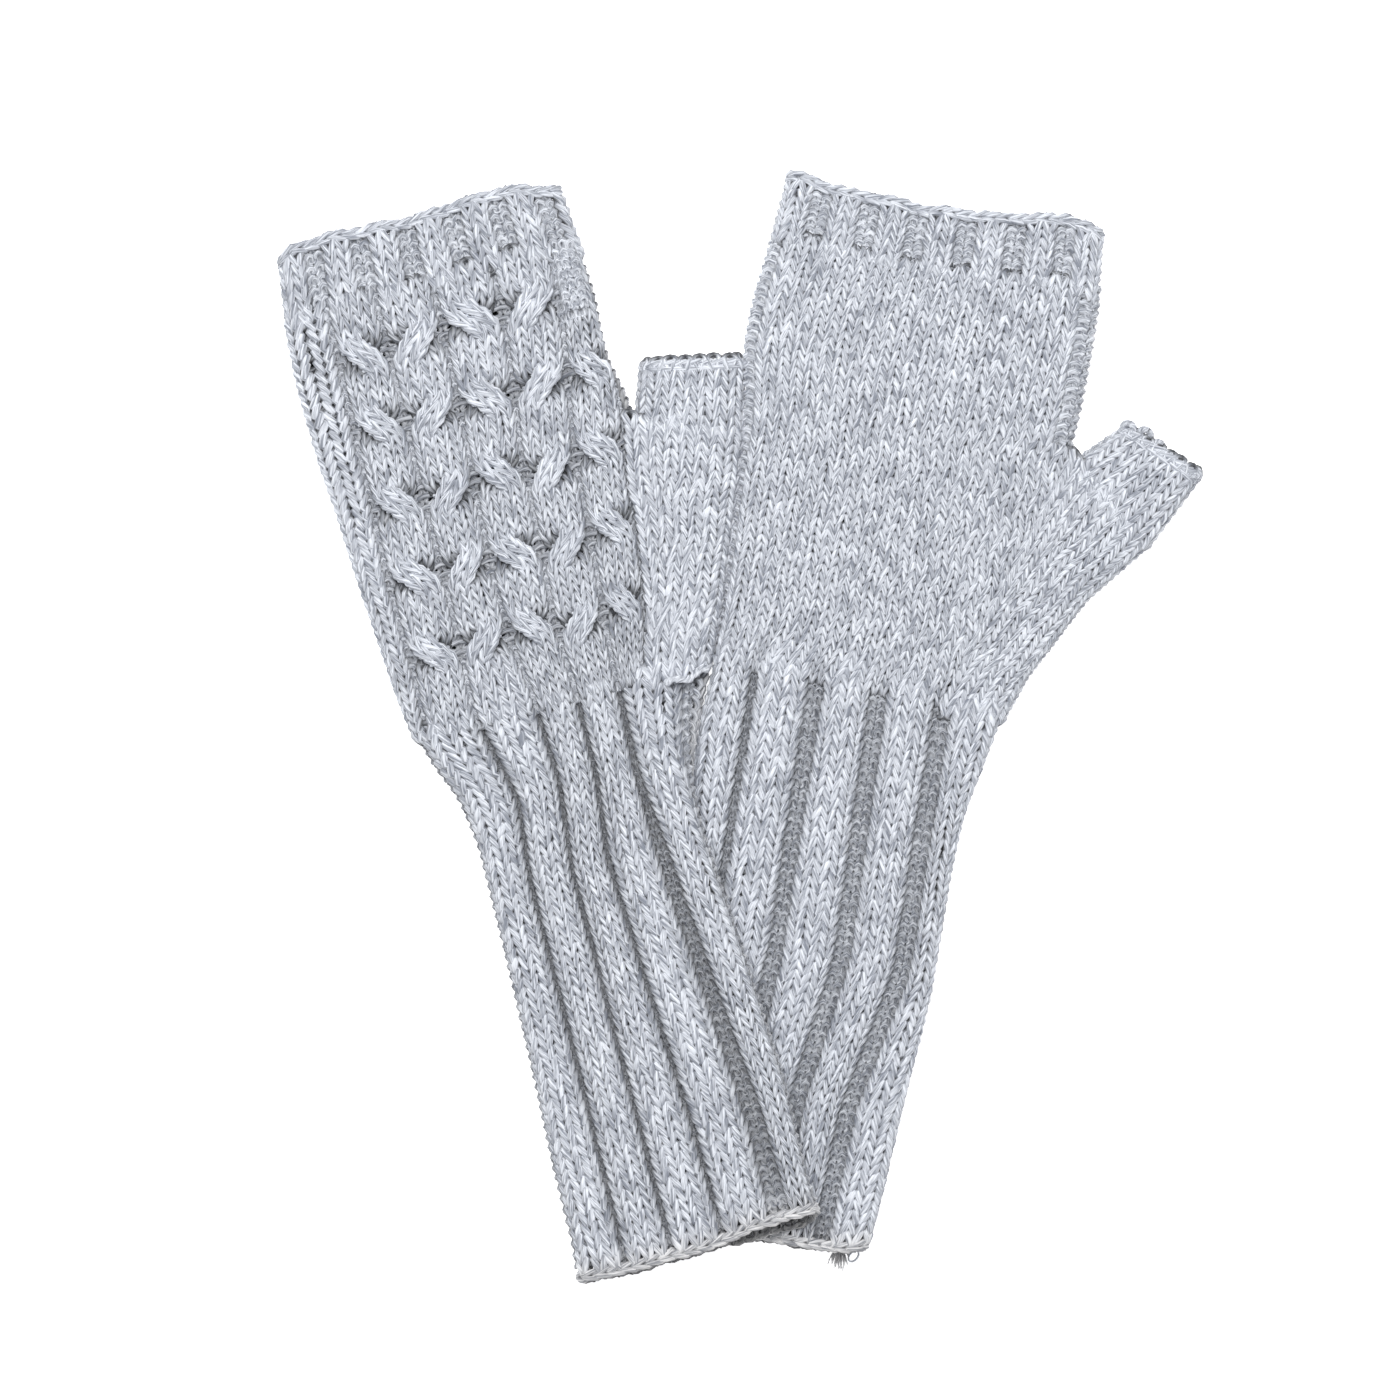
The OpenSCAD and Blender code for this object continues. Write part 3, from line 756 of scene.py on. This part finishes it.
def back_fabric(m):
    n1, n2 = rows_below_crotch(m), rows_above_crotch(m)
    bottom = is_bottom(m, "back")
    sign = np.array(CABLE_SIGNS, float)
    shape = profile(CABLE_SIGNS, lambda a, b: 1.6, lambda a, b: CABLE_CREST if b - a > 2 else 0.3)
    shape = lowered(m, "back", shape)

    def signs(rows, cols):
        patch = (cols >= PATCH_COLS[0]) & (cols <= PATCH_COLS[1]) & (hand_station(m, rows) > PATCH_S)
        return np.where(patch, -1.0, sign[cols])
    f = Fabric(m, place_hand(m, bottom), lambda r: hand_station(m, r), n1 + n2, CABLE_COLS,
               lambda k: back_bounds(m, k), shape, signs)
    # painted shade in the grooves and on purl stitches
    f.groove, f.purl_deep, f.purl_r = 0.12, 0.7, 0.82
    f.fuzz = 0.35 if bottom else 1.0
    f.twist = cable_twist(m, bottom)
    return f


def cable_twist(m, bottom):
    """The move of the cables' stitches where they cross. On the lower face the front pair stays in."""
    front_rise, back_rise = (0.0, -1.0) if bottom else (1.6, -1.6)
    stretch = (CROTCH_S[m["name"]] - CUFF_LEN) / (CROTCH_S["left"] - CUFF_LEN)

    def twist(rows, cols, x, y):
        """How a stitch moves when its cable crosses near it: across, up the fabric and out."""
        out, dy, dz = x.copy(), np.zeros_like(y), np.zeros_like(y)
        s, s_row = hand_station(m, y), hand_station(m, rows + 0.5)
        for k, stations in enumerate(CROSSINGS):
            first = 4 + 5 * k
            slot = cols - first
            pair = first + np.where(slot < 2, 1.0, 3.0)
            step = np.where(slot < 2, 2.0, -2.0)
            side = x - pair
            beside = (cols == first - 1) | (cols == first + 4)
            for station in stations:
                at = CUFF_LEN + (station - CUFF_LEN) * stretch
                below_it = s_row < at
                share = np.clip((s - at + CROSS_HALF) / (2 * CROSS_HALF), 0, 1)
                go = smooth(share)
                shift = np.where(below_it, step * go, step * (1 - go))
                going = np.where(below_it, np.sign(step), -np.sign(step))
                slope = 2 * 6 * share * (1 - share) / (2 * CROSS_HALF)  # of go, over two columns
                turn = np.arctan(going * slope * CABLE_WALE)
                close = (slot >= 0) & (slot < 4) & (np.abs(s_row - at) < CROSS_REACH)
                wide = np.cos(turn) * (1 + CROSS_WIDEN * np.sin(turn) ** 2)
                out = np.where(close, pair + shift + side * wide, out)
                slant = CROSS_SLANT * side * CABLE_WALE / m["course"] * np.sin(turn)
                dy = np.where(close, dy - slant, dy)
                near_it = 1 - smooth(np.abs(s - at) / CROSS_NEAR)
                front = going == CABLE_LEANS[k]
                rise = np.where(front, front_rise * (1 + CROSS_CROWN * (1 - side ** 2)), back_rise)
                dz = dz + np.where(close, near_it * rise, 0)
                out = np.where(beside, out + (x - cols - 0.5) * BESIDE_SPREAD * near_it, out)
                dz = dz - np.where(beside, BESIDE_SINK * near_it, 0)
        return out, dy, dz
    return twist


def gusset_fabric(m, face):
    """The wedge beside the hand: its rungs turn from the wrist line to the thumb line."""
    n = rows_below_crotch(m)

    def near(f):
        s = CUFF_LEN + (m["crotch"][0] - CUFF_LEN) * f
        return np.stack([s, split_at(m, face, s) - GUSSET_TUCK], -1)

    def far(f):
        s = CUFF_LEN + (m["thumb_base"][0] - CUFF_LEN) * f
        return np.stack([s, look(m["thumb_line"], s)], -1)
    starts = [n * f for f in GUSSET_STARTS]
    n_old = GUSSET_COLS - len(starts)

    def bounds_at(knots):
        f = np.clip(knots / n, -0.1, 1.1)
        w = np.linalg.norm(far(f) - near(f), axis=-1) + ROUND_GAIN / 2
        old, new = new_column_weights(knots, n_old, starts)
        return grown(np.concatenate([new, old], -1), w, np.zeros_like(w))

    f = Fabric(m, place_between(m, near, far, is_bottom(m, face), False),
               lambda r: np.clip(r / n, -0.1, 1.1), n, GUSSET_COLS, bounds_at, flat_relief(m, face))
    f.shown = lambda rows, cols: started(starts + [ALWAYS] * n_old, rows, cols)
    return f


KNIT_SHARE, PURL_SHARE = 1.18, 0.82     # shares of the finger band's width that its columns take


def band_fabric(m, face):
    n = round(BAND_LEN / m["course"])
    cols = m["band_cols"]
    signs = np.array([1 if (c + 3) % 4 < 2 else -1 for c in range(cols)], float)

    def v_of(row):
        return BAND_START + row * BAND_LEN / n

    def bounds_at(knots):
        s = v_of(knots)
        w = np.where(signs > 0, KNIT_SHARE, PURL_SHARE) * np.ones((len(knots), cols))
        return grown(w, half_outline(m, "index", s), np.zeros_like(s))
    shape = profile(list(signs), lambda a, b: 1.3, lambda a, b: 0.45)
    shape = lowered(m, face, shape)
    f = Fabric(m, place_ring(m, "index", is_bottom(m, face)), v_of, n, cols, bounds_at, shape,
               lambda r, c: signs[c])
    f.wave_at = lambda row: BAND_WAVE * smooth((v_of(row) - BAND_START) / BAND_LEN)
    return f


def thumb_root(m):
    """The line that the thumb joins the hand on: its two ends, and the direction between them."""
    crotch, base = np.array(m["crotch"], float), np.array(m["thumb_base"], float)
    line_in = crotch - np.array([0, FOLD_W])
    return line_in, base, (base - line_in) / np.linalg.norm(base - line_in)


def thumb_lines(m):
    """The thumb tube's two edges as functions of the share of the way to its tip."""
    line_in, base, d = thumb_root(m)
    near0 = line_in + d * (FOLD_W + 1.0) + m["web"]
    tip_in, tip_out = np.array(m["tip_in"], float), np.array(m["tip_out"], float)

    def near(f):
        return near0 + (tip_in - near0) * np.asarray(f)[..., None]

    def far(f):
        return base + (tip_out - base) * np.asarray(f)[..., None]
    return near, far


THUMB_EDGE_F = 0.88     # share of the thumb's length where its edge starts


def thumb_fabric(m, face):
    near, far = thumb_lines(m)
    n = m["thumb_rows"]

    def v_of(row):
        return row / n * THUMB_EDGE_F

    def bounds_at(knots):
        v = v_of(knots)
        w = np.linalg.norm(far(v) - near(v), axis=-1) + ROUND_GAIN
        return grown(np.ones((len(knots), GUSSET_COLS)), w, np.zeros_like(w))
    return Fabric(m, place_between(m, near, far, is_bottom(m, face), True), v_of, n, GUSSET_COLS,
                  bounds_at, flat_relief(m, face))


CHAIN_MM = 3.6      # length of one link of an edge's chain
RIM_FOLLOW = 0.75   # share of the ribs' rise and fall that the chain along their ends follows
# rims: painted shade where the yarn lies deepest, plain and at the thumb, their fibres, and the least
# painted warm shade on the cast-on rim
RIM_DEEP, THUMB_RIM_DEEP, RIM_FUZZ, CAST_ON_WARM_SHADE = 0.45, 0.9, 6.0, 0.5
RIM_R, THUMB_RIM_R = 0.74, 0.9
RIM_LAP = 0.3       # how far a rim reaches over the end of its ribs


def rim_fabric(m, place, length, out_from, out_to, lift, body=None, row=0):
    """A chain along an open end. place(v, q, h): v is the share of the way out, q along the rim.
    body: the ribbed fabric that ends there, at that row; the chain waves as its ribs do."""
    n = round(length / CHAIN_MM)
    quarter = np.arange(body.n_cols * 4 + 1) / 4 if body is not None else None

    def along(q, v, h):
        if body is not None:
            edge = body.sample(body.bounds, np.full(len(quarter), float(row)), quarter)
            x = np.interp(q, edge, quarter)
            at = np.full(x.shape, float(row))
            v = v + body.wave_at(at) * body.sample(body.crests, at, x * 4)
            h = h + RIM_FOLLOW * body.sample(body.relief, at, x * 4)
        return place(v, q, h)
    f = Fabric(m, along, lambda row: row * length / n, n, 1, (out_from, out_to), lift)
    f.deep, f.fuzz = RIM_DEEP, RIM_FUZZ
    return f


# ---- wool
DARK, LIGHT = (0.27, 0.29, 0.34, 1), (0.91, 0.94, 1.0, 1)   # the fibres' darkest and lightest colours
WARM_SHADE_COLOUR = (0.93, 0.86, 0.76, 1)    # painted warm shade: what the yarn's colour is multiplied by where it lies low
STREAK, SLOW, QUICK = 0.95, 0.2, 0.09   # how far fibres, long and short stretches leave the middle tone
PLY_TURN = 0.06     # turns of the fibres round the yarn in a millimetre
FIBRE_ALONG, FIBRE_ROUND = 0.3, 10.0    # how fine the fibres are, along a millimetre and round a turn


def wool(name):
    """Soft heathered yarn: its colour wanders along the yarn, with fine fibres twisted round it, and two
    point attributes darken it with painted shade.
    """
    mat = bpy.data.materials.new(name)
    mat.use_nodes = True
    tree = mat.node_tree
    tree.nodes.clear()

    def add(kind, inputs, **settings):
        n = tree.nodes.new("ShaderNode" + kind)
        for key, value in settings.items():
            setattr(n, key, value)
        for key, value in inputs.items():
            if isinstance(value, bpy.types.NodeSocket):
                tree.links.new(value, n.inputs[key])
            else:
                n.inputs[key].default_value = value
        return n.outputs

    def calc(op, *values):
        return add("Math", dict(enumerate(values)), operation=op)[0]

    def wander(scale, detail):
        return add("TexNoise", {"Scale": scale, "Detail": detail, "W": along}, noise_dimensions="1D")["Fac"]
    along, around, _ = add("SeparateXYZ", {0: add("UVMap", {}, uv_map="Yarn")[0]})
    slow, quick = wander(0.03, 1.0), wander(0.2, 2.0)
    turned = calc("ADD", around, calc("MULTIPLY", along, PLY_TURN))
    at = add("CombineXYZ", {0: calc("MULTIPLY", along, FIBRE_ALONG),
                            1: calc("MULTIPLY", turned, FIBRE_ROUND)})[0]
    fibre = add("TexNoise", {"Vector": at, "Scale": 1.0, "Detail": 2.0, "Roughness": 0.6},
                noise_dimensions="2D")["Fac"]
    tone = calc("ADD", calc("MULTIPLY_ADD", slow, 2 * SLOW, -SLOW),
                calc("MULTIPLY_ADD", quick, 2 * QUICK, -QUICK))
    tone = calc("ADD", tone, calc("MULTIPLY_ADD", fibre, 2 * STREAK, 0.5 - STREAK))
    ramp = add("ValToRGB", {0: tone})
    stops = ramp[0].node.color_ramp.elements
    for stop, place, colour in zip(stops, (0.18, 0.82), (DARK, LIGHT)):
        stop.position, stop.color = place, colour
    low, depth = add("Attribute", {}, attribute_name="warm"), add("Attribute", {}, attribute_name="shade")
    # painted warm shade: the colour multiplied by a warm tint where the yarn lies low
    warm_shaded = add("Mix", {"Factor": low["Fac"], "A": ramp[0], "B": WARM_SHADE_COLOUR}, data_type="RGBA",
               blend_type="MULTIPLY")["Result"]
    # painted shade: the colour scaled down by the shade attribute
    colour = add("VectorMath", {0: warm_shaded, "Scale": depth["Fac"]}, operation="SCALE")[0]
    bump = add("Bump", {"Strength": 0.6, "Distance": 0.00025, "Height": fibre})[0]
    bsdf = add("BsdfPrincipled", {"Base Color": colour, "Normal": bump, "Roughness": 0.92,
                                  "Specular IOR Level": 0.15, "Sheen Weight": 0.25, "Sheen Roughness": 0.5})
    add("OutputMaterial", {0: bsdf[0]})
    return mat


SLOTS = ("plain_knit", "rib_knit", "cable_knit", "edge_yarn")
WOOL = {slot: wool(slot.split("_")[0] + "_wool") for slot in SLOTS}


# ---- the pieces
FACES = ("palm", "back")
WRIST_FROM, WRIST_TO, THUMB_BLEND = 138.0, 166.0, 9.0   # where the wrist and thumb joints reach; the pieces are not bent there


def axis_point(m, s, u=0.0):
    x, y = local_to_table(m, s, u)
    return (x * MM, y * MM, 2 * HALF_H * MM)


def follow_joint(m, obj, joint):
    """Bakes a piece's place into its mesh. The ends of the wrist joint, or of the line that the thumb joins
    the hand on, are worked out, but the piece is not bent over them.
    """
    if joint == "wrist":
        axis_point(m, WRIST_FROM)
        axis_point(m, WRIST_TO)
        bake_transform(obj)
        return
    line_in, base, d = thumb_root(m)
    mid, out = (line_in + base) / 2, np.array([d[1], -d[0]])
    ends = [axis_point(m, *(mid + out * step)) for step in (-THUMB_BLEND, THUMB_BLEND)]
    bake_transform(obj)


def make_piece(m, name, slot, cad_node, follow, parts, extra=None):
    """Knits one piece, which stands for a CAD node. follow: the joint that it crosses or its body.
    parts: (fabric, rows, columns, seed) and knit's strip and radius. extra: adds loose yarn to it."""
    batch = Batch()
    for part in parts:
        knit(batch, *part)
    if extra is not None:
        extra(m, batch)
    obj = batch.build(m["name"] + "_" + name, WOOL[slot])
    if follow in ("wrist", "thumb"):
        follow_joint(m, obj, follow)
    else:
        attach(obj, m["name"] + "_" + follow)
    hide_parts(m["name"] + "_" + cad_node)


def add_loose_yarn(m, batch, points, radius, yarn_u, strip, shade, warm=0.0):
    """One free strand through points (s, u, z). strip: where its bake starts, and its height."""
    # the strand's painted shade, and any painted warm shade, are one value along it
    line = to_world(m, points)[None]
    out = np.zeros_like(line) + (0, 0, MM)
    share = np.linspace(0, 1, len(points))[None]
    batch.add(tubes(line, out, radius[None] * MM), shade, yarn_u[None], share,
              np.array([strip[0]]), np.array([strip[1]]), warm)


def add_strand(m, batch):
    """The thick strand that lies across the left wrist above a patch of purl."""
    t = np.linspace(0, 1, 33)
    points = np.stack([149.0 + 0.7 * np.sin(t * 9.0) + 0.8 * t, 30.5 + 12.0 * t,
                       2 * HALF_H + 2.1 - 3.0 * t ** 3], -1)
    add_loose_yarn(m, batch, points, 1.1 + 0.14 * np.sin(t * 27.0), t * 20 + 700, (0.94, 0.02), 0.95)


# Loose loops of the thumb's bind-off: share along the edge, half width, half height, lift, reach out
LOOSE_LOOPS = [(0.07, 1.5, 1.2, 1.2, 0.2), (0.25, 1.6, 1.2, 1.6, 1.1), (0.43, 1.2, 0.9, 0.7, 0.4),
               (0.62, 1.4, 0.8, 0.7, -0.2), (0.88, 1.4, 1.0, 0.8, -0.6)]
LOOP_R, LOOP_H = 1.02, HALF_H + 3.4


def add_loose_loops(m, batch):
    near, far = thumb_lines(m)
    t = np.linspace(0, 2 * math.pi, 25)
    tip_in, tip_out = near(np.array(1.0)), far(np.array(1.0))
    d = (tip_out - tip_in) / np.linalg.norm(tip_out - tip_in)
    up = np.array([-d[1], d[0]])
    up = up if up[0] > 0 else -up
    for k, (share, half_w, half_h, lift, reach) in enumerate(LOOSE_LOOPS):
        mid = tip_in + (tip_out - tip_in) * share
        a = (half_w * np.sin(t))[:, None] * d + (half_h * np.cos(t) + reach)[:, None] * up
        z = LOOP_H + lift * np.sin(t + 0.8 + k)
        add_loose_yarn(m, batch, np.concatenate([mid + a, z[:, None]], -1), np.full(len(t), LOOP_R),
                       t * 5 + 40.0 * k, (0.5 + 0.01 * k, 0.008), 0.9)


# the tuft's fibres, its place across, and the painted warm shade on it
TUFT_FIBRES, TUFT_U, TUFT_WARM_SHADE = 44, 24.5, 0.6


def make_tuft(m, seed):
    """The short end of yarn that sticks out below the cuff, and a small loose loop beside it."""
    rng = np.random.default_rng(seed)
    batch = Batch()
    t = np.linspace(0, 1, 13)
    for i in range(TUFT_FIBRES):
        aside = rng.normal(0, 1)
        length = rng.uniform(3.0, 6.6) * (1 - 0.12 * abs(aside))
        a = math.radians(4 + 13 * aside)
        u = TUFT_U + 0.75 * aside + t * length * math.sin(a) + rng.normal(0, 0.35) * np.sin(t * 3.0)
        z = np.maximum(1.3 + 0.45 * rng.normal(0, 1) + 0.5 * t, OFF_TABLE)
        radius = rng.uniform(0.12, 0.24) * (1 - 0.6 * t ** 2)
        add_loose_yarn(m, batch, np.stack([0.8 - t * length, u, z], -1), radius,
                       t * 9 + rng.uniform(0, 99), (0.01 + 0.7 * i / TUFT_FIBRES, 0.6 / TUFT_FIBRES),
                       1.0, TUFT_WARM_SHADE)
    a = t * 2 * math.pi
    loop = np.stack([-1.6 - 1.5 * np.cos(a), 28.6 + 1.3 * np.sin(a), 1.0 + 0.5 * np.sin(a)], -1)
    add_loose_yarn(m, batch, loop, np.full(len(t), 0.32), t * 9, (0.8, 0.2), 1.0)
    obj = batch.build("right_yarn_tuft", WOOL["edge_yarn"])
    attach(obj, "right_cuff")
    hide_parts("right_yarn_tail")


NEAR_EDGE, INNER, FAR_EDGE = range(0, 2), range(2, PALM_COLS - 2), range(PALM_COLS - 2, PALM_COLS)
BACK_FAR_EDGE = range(CABLE_COLS - 2, CABLE_COLS)


def make_cuff(m, seed):
    cuff = [cuff_fabric(m, face) for face in FACES]
    rows = range(cuff[0].n_rows + 1)
    for k, face in enumerate(FACES):
        make_piece(m, "cuff_" + face, "rib_knit", "cuff_" + face + "_rib", "wrist",
                   [(cuff[k], rows, INNER, seed + k)])
    for name, cols in (("outer", NEAR_EDGE), ("thumb", FAR_EDGE)):
        make_piece(m, "cuff_" + name + "_edge", "rib_knit", "cuff_" + name + "_fold", "wrist",
                   [(cuff[k], rows, cols, seed + k, HALVES[k]) for k in range(2)])


def make_hand(m, seed):
    n1, n2 = rows_below_crotch(m), rows_above_crotch(m)
    palm, back = palm_fabric(m), back_fabric(m)
    below, above, whole = range(n1), range(n1, n1 + n2 + 1), range(n1 + n2 + 1)
    make_piece(m, "palm", "plain_knit", "palm_panel", "wrist",
               [(palm, below, range(2, PALM_COLS), seed), (palm, above, INNER, seed)])
    make_piece(m, "cabled_back", "cable_knit", "back_cable_panel", "wrist",
               [(back, below, range(2, CABLE_COLS), seed + 1),
                (back, above, range(2, CABLE_COLS - 2), seed + 1)], add_strand if m is LEFT else None)
    make_piece(m, "hand_outer_edge", "plain_knit", "hand_outer_fold", "wrist",
               [(palm, whole, NEAR_EDGE, seed, HALVES[0]), (back, whole, NEAR_EDGE, seed + 1, HALVES[1])])
    make_piece(m, "hand_index_edge", "plain_knit", "hand_index_fold", "hand",
               [(palm, above, FAR_EDGE, seed, HALVES[0]), (back, above, BACK_FAR_EDGE, seed + 1, HALVES[1])])


def make_thumb_and_band(m, seed):
    gusset = [gusset_fabric(m, face) for face in FACES]
    n = rows_below_crotch(m)
    cut = n // 2 - 1
    for name, rows, follow in (("foot", range(-1, cut), "wrist"), ("top", range(cut, n + 1), "thumb")):
        make_piece(m, "gusset_" + name, "plain_knit", "thumb_gusset", follow,
                   [(gusset[k], rows, range(GUSSET_COLS), seed + k, HALVES[k]) for k in range(2)])
    for k, face in enumerate(FACES):
        band = band_fabric(m, face)
        make_piece(m, "finger_band_" + face, "rib_knit", "finger_band_" + face, "hand",
                   [(band, range(band.n_rows), range(band.n_cols), seed + 2 + k)])
    thumb = [thumb_fabric(m, face) for face in FACES]
    make_piece(m, "thumb_tube", "plain_knit", "thumb_tube", "thumb",
               [(thumb[k], range(thumb[k].n_rows + 1), range(GUSSET_COLS), seed + 4 + k, HALVES[k])
                for k in range(2)])


def make_edges(m, seed):
    for name, cad_node, follow, side, s0, s1, make_ribs in (
            ("cast_on", "cuff_cast_on_edge", "cuff", "thumb", 0.0, EDGE_LEN + RIM_LAP, cuff_fabric),
            ("finger_bind_off", "finger_bind_off_edge", "hand", "index", FINGER_EDGE - RIM_LAP, MITT_LEN,
             band_fabric)):
        parts = []
        for k, face in enumerate(FACES):
            bottom, ribs = is_bottom(m, face), make_ribs(m, face)
            length = float(half_outline(m, side, np.array(s0)))
            lift = (OFF_TABLE if bottom else 0.1) * (1 - RIM_FOLLOW)
            rim = rim_fabric(m, place_ring(m, side, bottom), length, s0, s1, lift, ribs,
                             0 if name == "cast_on" else ribs.n_rows)
            # painted warm shade along the cast-on rim
            rim.tan = CAST_ON_WARM_SHADE if name == "cast_on" else 0.0
            parts.append((rim, range(rim.n_rows), range(1), seed + k, HALVES[k], RIM_R))
        make_piece(m, name, "edge_yarn", cad_node, follow, parts)
    near, far = thumb_lines(m)
    parts = []
    for k, face in enumerate(FACES):
        bottom = is_bottom(m, face)
        length = float(np.linalg.norm(far(0.94) - near(0.94))) + ROUND_GAIN
        rim = rim_fabric(m, place_between(m, near, far, bottom, True), length, THUMB_EDGE_F - 0.01,
                         0.955 if bottom else 1.0, flat_relief(m, face))
        # painted shade where the thumb rim's yarn lies deepest
        rim.deep = THUMB_RIM_DEEP
        parts.append((rim, range(rim.n_rows), range(1), seed + 2 + k, HALVES[k], THUMB_RIM_R))
    make_piece(m, "thumb_bind_off", "edge_yarn", "thumb_bind_off_edge", "thumb", parts,
               add_loose_loops if m is RIGHT else None)


def make_mitt(m, seed):
    make_cuff(m, seed)
    make_hand(m, seed + 2)
    make_thumb_and_band(m, seed + 4)
    make_edges(m, seed + 10)


make_mitt(RIGHT, 100)
make_mitt(LEFT, 200)
make_tuft(RIGHT, 300)


# ---- floor, light and camera
FLOOR_HALF, FLOOR_GLOW = 3.0, 0.75
SKY, SKY_POWER = (0.96, 0.975, 1.0, 1), 0.30
# The camera looks straight down: the point below it, the width that it sees there and its distance
AIM, VIEW_W, DISTANCE = (-0.01088, 0.00546, 0.010), 0.38251, 2.2


def make_stage():
    mat = bpy.data.materials.new("floor_paper")
    mat.use_nodes = True
    paper = mat.node_tree.nodes["Principled BSDF"].inputs
    paper["Base Color"].default_value = (0.93, 0.93, 0.93, 1)
    paper["Roughness"].default_value = 0.9
    paper["Emission Color"].default_value = (1, 1, 1, 1)
    paper["Emission Strength"].default_value = FLOOR_GLOW
    me = bpy.data.meshes.new("floor")
    r = FLOOR_HALF
    me.from_pydata([(-r, -r, 0), (r, -r, 0), (r, r, 0), (-r, r, 0)], [], [(0, 1, 2, 3)])
    me.materials.append(mat)
    floor = bpy.data.objects.new("floor", me)
    bpy.context.scene.collection.objects.link(floor)


def area_light(name, place, size, power):
    """A round light at a place, turned to the middle of the object."""
    data = bpy.data.lights.new(name, "AREA")
    data.shape, data.size, data.energy = "DISK", size, power
    obj = bpy.data.objects.new(name, data)
    obj.location = place
    obj.rotation_euler = (-Vector(place)).to_track_quat("-Z", "Y").to_euler()
    bpy.context.scene.collection.objects.link(obj)


def make_light():
    world = bpy.data.worlds.new("studio")
    world.use_nodes = True
    sky = world.node_tree.nodes["Background"].inputs
    sky[0].default_value, sky[1].default_value = SKY, SKY_POWER
    bpy.context.scene.world = world
    area_light("overhead", (-0.15, 0.45, 1.5), 0.9, 21.0)
    area_light("fill", (0.7, -0.5, 1.2), 1.2, 2.5)


def make_camera():
    data = bpy.data.cameras.new("camera")
    data.sensor_width = 36.0
    data.lens = data.sensor_width * DISTANCE / VIEW_W
    data.clip_start, data.clip_end = 0.05, 20.0
    cam = bpy.data.objects.new("camera", data)
    cam.location = (AIM[0], AIM[1], AIM[2] + DISTANCE)
    bpy.context.scene.collection.objects.link(cam)
    bpy.context.scene.camera = cam


bpy.context.scene.view_settings.view_transform = "Standard"
make_stage()
make_light()
make_camera()
